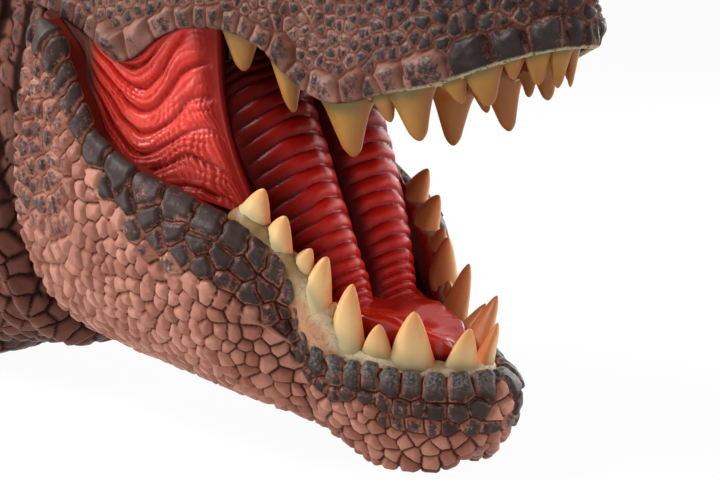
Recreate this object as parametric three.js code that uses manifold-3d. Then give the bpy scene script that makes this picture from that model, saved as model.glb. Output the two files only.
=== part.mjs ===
// Hand puppet of a meat-eating dinosaur: a hollow rubber head, lower jaw and neck for one hand.
// Millimetres. +X points to the snout, +Y to the animal's left, +Z up from the table it lies on.
// The origin is on the table, below the middle of the puppet's length.
import * as THREE from 'three';
import { mergeVertices } from 'three/addons/utils/BufferGeometryUtils.js';
import Module from 'manifold-3d';

const wasm = await Module();
wasm.setup();

// Walls and clearances
const skinWall = 2.5; // rubber skin of head and jaw
const neckWall = 2.8; // rubber sleeve of the neck
const liningWall = 2.2; // red lining of the mouth
const cheekWall = 1.6; // thin web at the mouth's corners
const seatGap = 0.3; // between pieces that are seated on each other

// Head
const noseSetback = 14; // how far the nose's top lies behind its lip
const noseFrom = 42; // where the top starts to lean back
const headSides = 0.52; // lower is squarer across
const headRise = 1.12; // higher keeps the sides upright for longer
const browHeight = 6; // ridge over each eye
const browX = 10;
const browAcross = 25; // from the middle plane to the ridge
const browLength = 16;
const browWidth = 8;
const browFoot = [0.4, 0.7]; // shares of the way up the head where the ridge fades in
const plateHeight = 1.2; // plates along the lip
const plateTop = 0.12; // share of the way up the head that they reach
const bossHeight = 1; // bosses over the top of the head
const bossEdges = [0.37, 0.5, 0.65, 0.8, 0.93, 1]; // edges of their rows, as shares of the way up
const plateSlope = 0.2; // share of a plate or boss that each of its sides takes up
const eyeX = 8;
const eyeUp = 0.47; // share of the way from the lip to the top of the head
const eyeRadius = 6.5;
const eyeDome = 3;
const eyeShoulder = 0.72; // radius share where the dome turns over
const eyeShoulderRise = 0.7; // height share of the dome there

// Lower jaw
const jawSides = 0.6;
const jawDepthCurve = 1.05;
const chinFrom = 30; // where the underside starts to lean back
const bulgeHigh = 0.6; // lower puts the swelling nearer the rim
const ramusSweep = 15; // how far the jaw's rear edge bows backwards
const ramusFrom = 0.62; // share of the rim where that bow begins
const ramusBow = 1.2; // higher makes the bow more pointed
const chinLobeDrop = 8; // lobes under the chin, either side of a groove
const chinLobeX = 70;
const chinLobeY = 11;
const chinLobeLength = 20;
const chinLobeWidth = 7;
const chinLobeFoot = [0.3, 0.8]; // shares of the way down the jaw where the lobes fade in

// Neck
const neckSquareness = 2.4; // higher is squarer across
const neckFolds = 9; // spacings of the folds from the hem to the collar
const foldHeight = 2.4;
const foldFade = [0.03, 0.12, 0.6, 0.7]; // shares of the neck where the folds rise and end
const foldWander = 3; // how far a fold strays along the neck
const foldClear = 6; // height over the table where the folds reach their full height

// Gums and palate
const upperGumHalf = 3.4; // half the strip's width
const upperGumHeight = 4; // half the strip's height
const lowerGumHalf = 4.2;
const lowerGumHeight = 4.2;
const gumReach = 0.5; // how far the upper gum stands past the lip
const upperGumEnd = 108.5; // along the lip from the snout's tip
const lowerGumEnd = 78; // along the gum from the chin
const palateEnd = 0.62; // share of the lip line that has palate inside it
const palateRise = 3.5;
const palateArch = 4.5;
const palateRear = 0.3; // how much of the arch is left at the throat
const palateFlat = 0.22; // share of the lip line with the full arch

// Mouth floor, throat lobes and tongue
const floorEnd = 0.35; // share of the lining that lies flat, before the lobes rise
const lobeStart = [0.25, 0.55]; // shares of the lining where the lobes swell up
const lobeGap = 0.012; // share of the lining between floor and lobes
const lobeRound = 0.8; // lower makes the lobes squarer
const lobeSwell = 8; // how far each lobe stands out of the groove
const lobeFallBack = 9; // how far the lining's sides run back
const grooveHalf = 0.4;
const tongueRear = 55;
const tongueFront = 77;
const tongueHalf = 8.5;
const tongueThick = 5.5;
const tongueGap = 0.6;
const tongueTaper = 0.8; // width share at the tip
const tongueEnds = 0.12; // size share of the first and last section
const tongueEdge = 0.02; // half the thickness of its thin rim

// Webs at the mouth's corners, between shares of the lip line and of the rim
const cheekOnLip = [0.625, 0.87];
const cheekOnRim = [0.56, 0.9];
const cheekHang = 1.7; // how far its upper edge lies below the lip
const cheekSeat = 0.5; // how far its lower edge reaches below the rim
const cheekBow = 10; // how far the free edge bows back
const cheekSag = 2;
const cheekGap = 0.6; // clear of the skins

// Teeth
const rootDepth = 2.6; // how far a tooth goes into its gum
const rootTaper = 0.62;
const toothFlatness = 0.5; // thickness across the jaw over width along it
const tipBlunt = 0.14;
const tipPoint = 0.04; // width share at the very tip
const toothTaper = 1.15; // higher keeps the tooth wide for longer

// Outlines of one side, front to back: [x, half-width, z]
const upperLip = [
  [119.1, 0, 104.5], [117, 4.6, 104.5], [112, 9.4, 103.6], [104.5, 14, 101.4], [95.4, 17.6, 98.2],
  [88, 20, 95.6], [75.4, 22.5, 93.2], [61, 24.5, 90.2], [52.4, 25.7, 90], [46, 26.7, 92], [38, 29, 99],
  [27, 32, 104.8], [12.4, 35, 104], [-4.3, 37.3, 97.5], [-20, 37.3, 105], [-42, 36.6, 112],
];
const lowerRim = [
  [88.5, 0, 24.3], [86, 7, 24.3], [78, 13.2, 24.3], [68.6, 19.2, 26], [57.6, 23.5, 27.6], [52.4, 25.2, 32.5],
  [49.6, 26, 41], [46.6, 27.4, 48.3], [39.4, 30.4, 55.3], [25.6, 35.4, 62.3], [9, 40, 69], [0.4, 41, 72.6],
  [-6.4, 41.8, 77.5], [-10.5, 42.2, 84], [-15, 42.5, 92], [-19.5, 42.5, 99], [-28, 42.5, 106.5],
];
// How far the skin swells out below the rim: [distance along the rim, swell]
const rimSwell = [
  [0, 4], [28, 3], [42, 0.8], [60, 0.8], [74, 5], [86, 8], [98, 6], [110, 4.2], [120, 3.2], [130, 2.6],
  [166, 2.5],
];
// Widths of the plates along the upper lip, from the middle of the snout backwards
const plateWidths = [7, 9, 8.5, 11.5, 12, 8, 10.5, 9.5, 5.5, 9, 9.8, 9.7, 9.5, 8.5, 10, 13, 10, 12, 6];
// Top of the lower gum, where the lower teeth come out of it
const lowerGumTop = [
  [83.7, 0, 25], [82.6, 4, 25], [74, 10.2, 25.5], [66.5, 14.8, 27.3], [59.5, 18.5, 29.5], [56.3, 20.8, 34.5],
  [53.6, 22.4, 40.5], [49.5, 24, 47], [43.6, 26, 53], [38, 28, 59], [30, 30.6, 64], [20, 33, 68],
];
// Top of the head and underside of the jaw in the middle plane: [x, z]
const crown = [
  [-42, 153.4], [-25, 155.9], [-8, 155.4], [8, 151.9], [22, 146.9], [42, 141.4], [62, 137.9], [85, 135.4],
  [106, 128.4],
];
const keel = [[-30, 17], [0, 13.5], [30, 9], [55, 5.5], [74, 3.2]];
// Lining from the front of the mouth's floor up to the throat, in the middle plane: [x, z, half-width]
const liningPath = [
  [78, 25.5, 2.6], [70, 26, 6.6], [60, 28, 12], [53, 32.5, 15], [47.5, 42, 17], [40.5, 58, 20], [33, 75, 23],
  [26.5, 90, 25.5], [23.5, 98, 26],
];
// Neck from the wrist opening to the collar inside the head: [x, half-width, lowest z, highest z]
const neckStations = [
  [-120, 46, -1.6, 131], [-112, 45.6, -1.2, 133], [-104, 43.5, 4, 136], [-94, 41.5, 9, 139],
  [-84, 42, 10.5, 141.5], [-74, 40.8, 11.5, 143.5], [-65, 41.2, 12, 145.5], [-57, 39.4, 15, 145.5],
  [-52, 36.8, 26.5, 141.5], [-46, 36.5, 28, 140.5], [-26, 36, 29, 139],
];
// Teeth of one side, front to back: [place along the line, length, width, lean forwards, lean outwards]
const upperTeeth = [
  [7.2, 9.6, 4.6, -0.8, -0.5], [13.7, 7.8, 6.6, 0, 0.4], [20.3, 5, 5, 0, 0.3], [28.8, 8.6, 9.6, 1.6, 0],
  [36.9, 5.7, 5.4, 1.8, -1], [49.1, 12.3, 11.6, 2.7, 0.5], [57.6, 6.6, 5.2, 2.4, 0.3],
  [68.4, 13.8, 13, 1.2, -0.7], [88.6, 10.6, 9.4, 1.9, 0.3], [103.2, 8.2, 8.4, 0.9, 0.6],
];
const lowerTeeth = [
  [3.9, 11.2, 7, 1.6, 4], [15.4, 14.8, 10, 1.5, 6], [24.2, 9.4, 6.6, 2, 5.6], [32.2, 16.2, 8.6, 2.4, 4],
  [39.3, 5, 4.2, 1.6, 0], [45.6, 10.4, 8, 2.6, 0], [53.4, 6, 4.4, 3, 0.5], [62, 7.8, 8, 3.2, 2.2],
  [71.2, 7.8, 8, 3.8, 2],
];

// Mesh densities
const skinAlong = 44;
const skinAround = 9;
const headPlain = [0.2, 0.29]; // rows of points between the plates and the bosses
const neckAround = 28;
const neckAlong = 36;
const palateAlong = 22;
const palateAcross = 6;
const liningAlong = 8;
const liningAcross = 10;
const gumAlong = 32;
const gumAround = 8;
const toothSides = 7;
const toothRings = [0, 0.3, 0.6, 0.85];
const eyeSides = 16;
const tongueAlong = 9;
const tongueAround = 12;
const cheekAlong = 10;
const cheekDown = 6;

const rubber = (color, roughness) => new THREE.MeshStandardMaterial({ color, roughness, metalness: 0 });
const headRubber = rubber('#5d4743', 0.55);
const jawRubber = rubber('#9c6350', 0.55);
const mouthRubber = rubber('#8c1d20', 0.25);
const gumRubber = rubber('#a98672', 0.4);
const toothIvory = rubber('#d8c493', 0.4);
const eyeAmber = rubber('#b07a1c', 0.1);

const mix = (a, b, share) => a + (b - a) * share;
const ease = (value, from, to) => THREE.MathUtils.smoothstep(value, from, to);
const bump = (value, centre, width) => Math.exp(-(((value - centre) / width) ** 2));

// Smooth run through stations [key, value, ...] in rising order of key.
function through(stations, key) {
  const last = stations.length - 1;
  let i = 0;
  while (i < last - 1 && key > stations[i + 1][0]) i += 1;
  const slope = (j, k) => {
    const a = stations[Math.max(j - 1, 0)];
    const b = stations[Math.min(j + 1, last)];
    return (b[k] - a[k]) / (b[0] - a[0]);
  };
  const span = stations[i + 1][0] - stations[i][0];
  const u = (key - stations[i][0]) / span;
  const start = (1 + 2 * u) * (1 - u) ** 2;
  const leave = u * (1 - u) ** 2 * span;
  const arrive = u * u * (u - 1) * span;
  return stations[i].slice(1).map((value, n) => start * value + (1 - start) * stations[i + 1][n + 1]
    + leave * slope(i, n + 1) + arrive * slope(i + 1, n + 1));
}

// A line round one jaw. at(s) runs from the rear right, s = -1, past the front, 0, to the rear left, 1.
function jawLine(outline) {
  const points = outline.map((p) => new THREE.Vector3(...p));
  const mirrored = new THREE.Vector3(points[1].x, -points[1].y, points[1].z);
  const steps = points.map((p, i) => (i ? p.distanceTo(points[i - 1]) : 0));
  const length = steps.reduce((sum, step) => sum + step, 0);
  let run = 0;
  const stations = points.map((p, i) => {
    run += steps[i];
    return [run / length, p.x, p.y, p.z];
  });
  stations.unshift([-steps[1] / length, ...mirrored]);
  const at = (s) => {
    const [x, y, z] = through(stations, Math.abs(s));
    return new THREE.Vector3(x, s < 0 ? -y : y, z);
  };
  const heading = (s) => {
    const step = 0.004;
    const ahead = at(Math.min(s + step, 1)).sub(at(Math.max(s - step, -1)));
    return ahead.setZ(0).normalize();
  };
  // Level direction away from the mouth
  const outward = (s) => {
    const way = heading(s);
    return new THREE.Vector3(way.y, -way.x, 0);
  };
  const shifted = (s, out, up) => at(s).addScaledVector(outward(s), out).add(new THREE.Vector3(0, 0, up));
  return { at, heading, outward, shifted, length };
}

const lip = jawLine(upperLip);
const rim = jawLine(lowerRim);

// Closed body from triangles, turned to face outwards.
function body(positions, triangles) {
  let volume = 0;
  const [a, b, c] = [new THREE.Vector3(), new THREE.Vector3(), new THREE.Vector3()];
  for (let i = 0; i < triangles.length; i += 3) {
    a.fromArray(positions, 3 * triangles[i]);
    b.fromArray(positions, 3 * triangles[i + 1]);
    c.fromArray(positions, 3 * triangles[i + 2]);
    volume += a.dot(b.cross(c));
  }
  const facing = [];
  for (let i = 0; i < triangles.length; i += 3) {
    const [p, q, r] = triangles.slice(i, i + 3);
    facing.push(p, ...(volume < 0 ? [r, q] : [q, r]));
  }
  const geometry = new THREE.BufferGeometry();
  geometry.setAttribute('position', new THREE.Float32BufferAttribute(positions, 3));
  geometry.setIndex(facing);
  return geometry;
}

// Shared points merged and empty triangles dropped.
function joined(geometry, tolerance) {
  const merged = mergeVertices(geometry, tolerance);
  const index = Array.from(merged.index.array);
  const kept = [];
  for (let i = 0; i < index.length; i += 3) {
    const [p, q, r] = index.slice(i, i + 3);
    if (p !== q && q !== r && r !== p) kept.push(p, q, r);
  }
  merged.setIndex(kept);
  return merged;
}

// Open surface: point(i, j) on a grid of cells, and how far it stands out of the plain form there.
function surface(along, across, point, relief = () => 0) {
  const positions = [];
  const heights = [];
  const triangles = [];
  for (let i = 0; i <= along; i += 1) {
    for (let j = 0; j <= across; j += 1) {
      positions.push(...point(i / along, j / across));
      heights.push(relief(i / along, j / across));
    }
  }
  for (let i = 0; i < along; i += 1) {
    for (let j = 0; j < across; j += 1) {
      const corner = i * (across + 1) + j;
      const next = corner + across + 1;
      triangles.push(corner, next, corner + 1, corner + 1, next, next + 1);
    }
  }
  const geometry = new THREE.BufferGeometry();
  geometry.setAttribute('position', new THREE.Float32BufferAttribute(positions, 3));
  geometry.setAttribute('relief', new THREE.Float32BufferAttribute(heights, 1));
  geometry.setIndex(triangles);
  return joined(geometry, 1e-3);
}

// Gives an open surface a wall. The wall grows against its normals if turn is 1 and along them if it is -1.
// The relief stands on the other side.
function walled(sheet, wall, turn) {
  sheet.computeVertexNormals();
  const plain = Array.from(sheet.attributes.position.array);
  const relief = sheet.attributes.relief.array;
  const normals = sheet.attributes.normal.array;
  const outer = plain.map((value, n) => value + turn * relief[Math.floor(n / 3)] * normals[n]);
  const inner = plain.map((value, n) => value - turn * wall * normals[n]);
  const count = outer.length / 3;
  const faces = Array.from(sheet.index.array);
  const edges = new Map();
  const triangles = [...faces];
  for (let i = 0; i < faces.length; i += 3) {
    const corners = faces.slice(i, i + 3);
    triangles.push(corners[0] + count, corners[2] + count, corners[1] + count);
    corners.forEach((from, n) => {
      const to = corners[(n + 1) % 3];
      if (!edges.delete(`${to} ${from}`)) edges.set(`${from} ${to}`, [from, to]);
    });
  }
  for (const [from, to] of edges.values()) {
    triangles.push(from, from + count, to, to, from + count, to + count);
  }
  return body([...outer, ...inner], triangles);
}

// Closed body through rings of points, with flat ends.
function lofted(rings) {
  const sides = rings[0].length;
  const positions = [];
  const triangles = [];
  for (const ring of rings) for (const p of ring) positions.push(...p);
  for (let k = 0; k < rings.length - 1; k += 1) {
    for (let n = 0; n < sides; n += 1) {
      const here = k * sides + n;
      const beside = k * sides + ((n + 1) % sides);
      triangles.push(here, beside, here + sides, beside, beside + sides, here + sides);
    }
  }
  for (const [first, flip] of [[0, true], [(rings.length - 1) * sides, false]]) {
    for (let n = 1; n < sides - 1; n += 1) {
      const pair = [first + n, first + n + 1];
      triangles.push(first, ...(flip ? pair.reverse() : pair));
    }
  }
  return body(positions, triangles);
}

function solid(geometry) {
  const plain = geometry.clone();
  plain.deleteAttribute('normal');
  plain.deleteAttribute('uv');
  const merged = mergeVertices(plain, 1e-4);
  return new wasm.Manifold(new wasm.Mesh({
    numProp: 3,
    vertProperties: new Float32Array(merged.attributes.position.array),
    triVerts: new Uint32Array(merged.index.array),
  }));
}

function cut(geometry, tools) {
  let result = solid(geometry);
  for (const tool of tools) result = result.subtract(solid(tool));
  const { vertProperties, triVerts } = result.getMesh();
  return body(Array.from(vertProperties), Array.from(triVerts));
}

// Skin point between a jaw's edge, share 0, and its line in the middle plane, share 1.
function domed(edge, middleX, middleZ, share, sides, rise) {
  const inwards = share >= 1 ? 0 : Math.cos((share * Math.PI) / 2) ** sides;
  const up = Math.sin((share * Math.PI) / 2) ** rise;
  return new THREE.Vector3(mix(middleX, edge.x, inwards), edge.y * inwards, mix(edge.z, middleZ, up));
}

const frontX = upperLip[0][0];
const setBack = (x, from, to, most) => x - most * THREE.MathUtils.clamp((x - from) / (to - from), 0, 1) ** 2;

// Height of a plate's section: 0 at its edges and 1 on its flat top.
const raised = (share) => THREE.MathUtils.clamp(Math.min(share, 1 - share) / plateSlope, 0, 1);
const plateSpan = plateWidths.reduce((sum, width) => sum + width, 0);

// How far s lies across its plate, from 0 to 1.
function acrossPlate(s) {
  let rest = Math.abs(s) * plateSpan;
  let n = 0;
  while (n < plateWidths.length - 1 && rest > plateWidths[n]) {
    rest -= plateWidths[n];
    n += 1;
  }
  return rest / plateWidths[n];
}

function headRelief(s, share) {
  if (share < plateTop) return plateHeight * raised(acrossPlate(s)) * raised(share / plateTop);
  if (share <= bossEdges[0]) return 0;
  const row = bossEdges.findIndex((edge) => share <= edge) - 1;
  const up = (share - bossEdges[row]) / (bossEdges[row + 1] - bossEdges[row]);
  const shift = row % 2 ? plateSlope : 0;
  return bossHeight * raised((acrossPlate(s) + shift) % 1) * raised(up);
}

function headPoint(s, share) {
  const edge = lip.at(s);
  const topX = setBack(edge.x, noseFrom, frontX, noseSetback);
  const point = domed(edge, topX, through(crown, topX)[0], share, headSides, headRise);
  const ridge = bump(point.x, browX, browLength) * bump(Math.abs(point.y), browAcross, browWidth);
  point.z += browHeight * ridge * ease(share, ...browFoot);
  return point;
}

const rimFrontX = lowerRim[0][0];
const keelFront = keel[keel.length - 1];

function jawPoint(s, share) {
  const edge = rim.shifted(s, skinWall, 0);
  const chinX = rimFrontX + skinWall;
  const lowX = setBack(edge.x, chinFrom, chinX, chinX - keelFront[0]);
  const point = domed(edge, lowX, through(keel, lowX)[0], share, jawSides, jawDepthCurve);
  const rear = ease(Math.abs(s), ramusFrom, 1);
  const [swell] = through(rimSwell, Math.abs(s) * rim.length);
  point.addScaledVector(rim.outward(s), swell * Math.sin(Math.PI * share ** bulgeHigh));
  point.x -= ramusSweep * rear * Math.sin(Math.PI * share) ** ramusBow;
  const lobe = bump(point.x, chinLobeX, chinLobeLength) * bump(Math.abs(point.y), chinLobeY, chinLobeWidth);
  point.z = Math.max(point.z - chinLobeDrop * lobe * ease(share, ...chinLobeFoot), 0);
  return point;
}

// Eye set square to the skin, with a hole of the same shape through it.
function eyeShape(side, clearance) {
  const reach = skinWall + eyeDome + clearance;
  const radius = eyeRadius + clearance;
  const shoulder = [eyeShoulder * radius, mix(skinWall, reach, eyeShoulderRise)];
  const profile = [[0, 0], [radius, 0], [radius, skinWall + clearance], shoulder, [0, reach]];
  const shape = new THREE.LatheGeometry(profile.map((p) => new THREE.Vector2(...p)), eyeSides);
  let s = 0.5;
  while (headPoint(s, eyeUp).x > eyeX) s += 0.002;
  const centre = headPoint(s, eyeUp);
  const along = headPoint(s + 0.01, eyeUp).sub(headPoint(s - 0.01, eyeUp));
  const up = headPoint(s, eyeUp + 0.02).sub(headPoint(s, eyeUp - 0.02));
  const normal = along.cross(up).normalize();
  if (normal.y < 0) normal.negate();
  centre.addScaledVector(normal, -skinWall - clearance);
  shape.applyQuaternion(new THREE.Quaternion().setFromUnitVectors(new THREE.Vector3(0, 1, 0), normal));
  shape.translate(...centre);
  if (side < 0) shape.scale(1, -1, 1);
  const merged = joined(shape.deleteAttribute('normal').deleteAttribute('uv'), 1e-4);
  return body(Array.from(merged.attributes.position.array), Array.from(merged.index.array));
}

// Places along the lip where a plate's sides begin and end, from the rear right to the rear left.
function plateColumns() {
  const places = [];
  let start = 0;
  for (const width of plateWidths) {
    places.push(start, start + plateSlope * width, start + (1 - plateSlope) * width);
    start += width;
  }
  places.push(start);
  const shares = places.map((place) => place / plateSpan);
  return [...shares.slice(1).reverse().map((share) => -share), ...shares];
}

// Shares of the way up the head where the sides of plates and bosses begin and end.
function plateRows() {
  const steps = [plateSlope, 1 - plateSlope, 1];
  const rows = [0, ...steps.map((step) => step * plateTop), ...headPlain, bossEdges[0]];
  for (let row = 1; row < bossEdges.length; row += 1) {
    const [low, high] = [bossEdges[row - 1], bossEdges[row]];
    for (const step of steps) rows.push(step === 1 ? high : mix(low, high, step));
  }
  return rows;
}

function headSkin() {
  const columns = plateColumns();
  const rows = plateRows();
  const [along, up] = [columns.length - 1, rows.length - 1];
  const onHead = (shape) => (a, b) => shape(columns[Math.round(a * along)], rows[Math.round(b * up)]);
  const sheet = surface(along, up, onHead(headPoint), onHead(headRelief));
  const skin = walled(sheet, skinWall, skinTurn(sheet));
  return cut(skin, [eyeShape(1, seatGap), eyeShape(-1, seatGap), gumStrip(upperGum, seatGap)]);
}

function jawSkin() {
  const sheet = surface(skinAlong, skinAround, (a, b) => jawPoint(2 * a - 1, b));
  return cut(walled(sheet, skinWall, skinTurn(sheet)), [gumStrip(lowerGum, seatGap)]);
}

// 1 if a sheet's normals point away from its middle, -1 if they point into it.
function skinTurn(sheet) {
  sheet.computeVertexNormals();
  sheet.computeBoundingBox();
  const middle = sheet.boundingBox.getCenter(new THREE.Vector3());
  const place = new THREE.Vector3();
  const normal = new THREE.Vector3();
  let sum = 0;
  for (let n = 0; n < sheet.attributes.position.count; n += 1) {
    place.fromBufferAttribute(sheet.attributes.position, n).sub(middle);
    normal.fromBufferAttribute(sheet.attributes.normal, n);
    sum += Math.sign(place.dot(normal));
  }
  return Math.sign(sum);
}

// Share of their full height that the folds have there.
function foldsAt(along) {
  const [from, full, fading, end] = foldFade;
  return ease(along, from, full) * (1 - ease(along, fading, end));
}

function neckPoint(along, turn) {
  const angle = 2 * Math.PI * turn;
  const wave = 0.6 * Math.sin(2 * angle + 0.7) + 0.4 * Math.sin(3 * angle + 2);
  const stray = foldWander * foldsAt(along) * wave;
  const x = mix(neckStations[0][0], neckStations[neckStations.length - 1][0], along) + stray;
  const [half, low, high] = through(neckStations, x);
  const power = 2 / neckSquareness;
  const across = Math.sign(Math.cos(angle)) * Math.abs(Math.cos(angle)) ** power;
  const upright = Math.sign(Math.sin(angle)) * Math.abs(Math.sin(angle)) ** power;
  const y = turn % 0.5 === 0.25 ? 0 : half * across;
  return [x, y, Math.max(mix(low, high, (1 + upright) / 2), 0)];
}

function neckRelief(along, turn) {
  const clear = Math.min(neckPoint(along, turn)[2] / foldClear, 1);
  return foldHeight * foldsAt(along) * clear * (0.5 - 0.5 * Math.cos(2 * Math.PI * neckFolds * along));
}

function neckSleeve() {
  const roundNeck = (shape) => (a, b) => shape(a, b % 1);
  const sheet = surface(neckAlong, neckAround, roundNeck(neckPoint), roundNeck(neckRelief));
  const sleeve = walled(sheet, neckWall, skinTurn(sheet));
  // The hem is cut square, so its inner edge lies in the same plane as its outer one.
  const places = sleeve.attributes.position;
  const hemX = neckStations[0][0];
  for (let n = 0; n < places.count / 2; n += 1) {
    if (Math.abs(places.getX(n) - hemX) < 1e-3) places.setX(n + places.count / 2, hemX);
  }
  return sleeve;
}

// Gums. at(s) is on the side that the teeth come out of, and way is the way that they point.
const upperGumIn = skinWall + seatGap + upperGumHalf;
const upperGum = {
  at: (s) => lip.shifted(s, -upperGumIn, -gumReach),
  outward: lip.outward,
  length: lip.length,
  way: -1,
  half: upperGumHalf,
  height: upperGumHeight,
  end: upperGumEnd,
};
const lowerGum = {
  ...jawLine(lowerGumTop), way: 1, half: lowerGumHalf, height: lowerGumHeight, end: lowerGumEnd,
};

// Directions at s: along the gum towards the animal's left rear, out of the mouth, and out of the gum's face.
function gumFrame(gum, s) {
  const step = 0.01;
  const along = gum.at(Math.min(s + step, 1)).sub(gum.at(Math.max(s - step, -1))).normalize();
  const out = gum.outward(s);
  const face = new THREE.Vector3().crossVectors(along, out).normalize();
  if (face.z * gum.way < 0) face.negate();
  return { along, out, face };
}

function gumStrip(gum, clearance) {
  const rings = [];
  const end = gum.end / gum.length;
  for (let k = 0; k <= gumAlong; k += 1) {
    const s = end * (2 * k / gumAlong - 1);
    const { along, out, face } = gumFrame(gum, s);
    const centre = gum.at(s).addScaledVector(face, -gum.height);
    if (k === 0) centre.addScaledVector(along, -clearance);
    if (k === gumAlong) centre.addScaledVector(along, clearance);
    const ring = [];
    for (let n = 0; n < gumAround; n += 1) {
      const angle = (2 * Math.PI * (n + 0.5)) / gumAround;
      const p = centre.clone().addScaledVector(out, (gum.half + clearance) * Math.cos(angle));
      ring.push(p.addScaledVector(face, (gum.height + clearance) * Math.sin(angle)).toArray());
    }
    rings.push(ring);
  }
  return lofted(rings);
}

// Tooth from its root to its tip, standing in a gum.
function toothShape(gum, [place, length, width, forwards, outwards], side, clearance) {
  const s = (side * place) / gum.length;
  const { along, out } = gumFrame(gum, s);
  const level = along.clone().setZ(0).normalize();
  const mouth = gum.at(s);
  const tip = mouth.clone().addScaledVector(level, -side * forwards).addScaledVector(out, outwards);
  tip.z += gum.way * length;
  const ringAt = (share, size) => {
    const centre = mouth.clone().lerp(tip, share);
    const ring = [];
    for (let n = 0; n < toothSides; n += 1) {
      const angle = (2 * Math.PI * n) / toothSides;
      const p = centre.clone();
      p.addScaledVector(along, (size * width / 2 + clearance) * Math.cos(angle));
      p.addScaledVector(out, (size * toothFlatness * width / 2 + clearance) * Math.sin(angle));
      ring.push(p.toArray());
    }
    return ring;
  };
  const rings = toothRings.map((share) => ringAt(share, mix(1, tipBlunt, share ** toothTaper)));
  rings.unshift(ringAt(-(rootDepth + clearance) / length, rootTaper));
  rings.push(ringAt(1, tipPoint));
  return lofted(rings);
}

function socketed(gum, teeth) {
  const tools = [];
  for (const side of [1, -1]) for (const tooth of teeth) tools.push(toothShape(gum, tooth, side, seatGap));
  return cut(gumStrip(gum, 0), tools);
}

function palate() {
  const inset = upperGumIn + upperGumHalf + seatGap + liningWall;
  const sheet = surface(palateAlong, palateAcross, (a, b) => {
    const s = palateEnd * (2 * a - 1);
    const edge = lip.shifted(s, -inset, palateRise);
    const rear = ease(Math.abs(s), palateFlat, palateEnd);
    const middleX = setBack(edge.x, noseFrom, frontX - inset, noseSetback);
    const middleZ = Math.max(edge.z, lip.at(0).z) + palateArch * mix(1, palateRear, rear);
    return domed(edge, middleX, middleZ, b, 1, 1);
  });
  return walled(sheet, liningWall, -skinTurn(sheet));
}

// Red lining of the lower mouth. along runs from the front to the throat, across from right, -1, to left, 1.
function liningPoint(along, across) {
  const keyed = liningPath.map(([x, z, half], n) => [n / (liningPath.length - 1), x, z, half]);
  const [x, z, half] = through(keyed, along);
  const step = 0.01;
  const before = through(keyed, Math.max(along - step, 0));
  const after = through(keyed, Math.min(along + step, 1));
  const run = new THREE.Vector2(after[0] - before[0], after[1] - before[1]).normalize();
  const risen = ease(along, ...lobeStart);
  const swell = lobeSwell * risen * Math.sin(Math.PI * Math.min(Math.abs(across), 1)) ** lobeRound;
  const back = lobeFallBack * risen * across ** 4;
  const proud = swell - back;
  return new THREE.Vector3(x + proud * run.y, half * across, z - proud * run.x);
}

function mouthFloor() {
  const sheet = surface(liningAlong, liningAcross, (a, b) => liningPoint(floorEnd * a, 2 * b - 1));
  return cut(walled(sheet, liningWall, -1), [gumStrip(lowerGum, seatGap)]);
}

function throatLobe(side) {
  const start = floorEnd + lobeGap;
  const sheet = surface(liningAlong, liningAcross, (a, b) => {
    const along = mix(start, 1, a);
    const inner = grooveHalf / liningPoint(along, 1).y;
    const p = liningPoint(along, mix(inner, 1, b));
    return [p.x, side * p.y, p.z];
  });
  return walled(sheet, liningWall, -side);
}

function tongue() {
  const rings = [];
  for (let k = 0; k <= tongueAlong; k += 1) {
    const share = k / tongueAlong;
    const x = mix(tongueRear, tongueFront, share);
    const round = Math.max(Math.sqrt(Math.max(1 - (2 * share - 1) ** 4, 0)), tongueEnds);
    const half = tongueHalf * mix(1, tongueTaper, share) * round;
    const base = floorTop(x) + tongueGap + tongueEdge;
    const ring = [];
    for (let n = 0; n < tongueAround; n += 1) {
      const angle = (2 * Math.PI * n) / tongueAround;
      const lift = Math.sin(angle);
      const height = lift > 0 ? tongueThick * round * lift : tongueEdge * lift;
      ring.push([x, half * Math.cos(angle), base + height]);
    }
    rings.push(ring);
  }
  return lofted(rings);
}

// Highest point of the mouth's floor under the tongue at x.
function floorTop(x) {
  let along = 0;
  while (along < 1 && liningPoint(along, 0).x > x) along += 0.002;
  let top = -Infinity;
  for (let across = 0; across <= 1; across += 0.1) top = Math.max(top, liningPoint(along, across).z);
  return top;
}

// Web at a corner of the mouth, from the upper lip to the lower rim, with a free front edge that bows back.
function cheek(side) {
  const sheet = surface(cheekAlong, cheekDown, (a, b) => {
    const top = lip.shifted(side * mix(...cheekOnLip, a), -skinWall - cheekGap, -cheekHang);
    const low = rim.shifted(side * mix(...cheekOnRim, a), -cheekGap, -cheekSeat);
    const p = top.lerp(low, b);
    const bow = Math.sin(Math.PI * b) * (1 - a);
    p.x -= cheekBow * bow;
    p.y -= side * cheekSag * bow;
    return p;
  });
  return walled(sheet, cheekWall, side);
}

const puppet = new THREE.Group();
const piece = (name, geometry, material) => {
  const mesh = new THREE.Mesh(geometry, material);
  mesh.name = name;
  puppet.add(mesh);
};

piece('neck_sleeve', neckSleeve(), headRubber);
piece('head_skin', headSkin(), headRubber);
piece('jaw_skin', jawSkin(), jawRubber);
piece('palate', palate(), mouthRubber);
piece('mouth_floor', mouthFloor(), mouthRubber);
piece('tongue', tongue(), mouthRubber);
piece('upper_gum', socketed(upperGum, upperTeeth), gumRubber);
piece('lower_gum', socketed(lowerGum, lowerTeeth), gumRubber);
for (const [side, word] of [[1, 'left'], [-1, 'right']]) {
  piece(`eye_${word}`, eyeShape(side, 0), eyeAmber);
  piece(`cheek_${word}`, cheek(side), mouthRubber);
  piece(`throat_lobe_${word}`, throatLobe(side), mouthRubber);
  for (const [row, gum, teeth] of [['upper', upperGum, upperTeeth], ['lower', lowerGum, lowerTeeth]]) {
    teeth.forEach((tooth, n) => {
      piece(`${row}_tooth_${word}_${n + 1}`, toothShape(gum, tooth, side, 0), toothIvory);
    });
  }
}

export default puppet;
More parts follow.
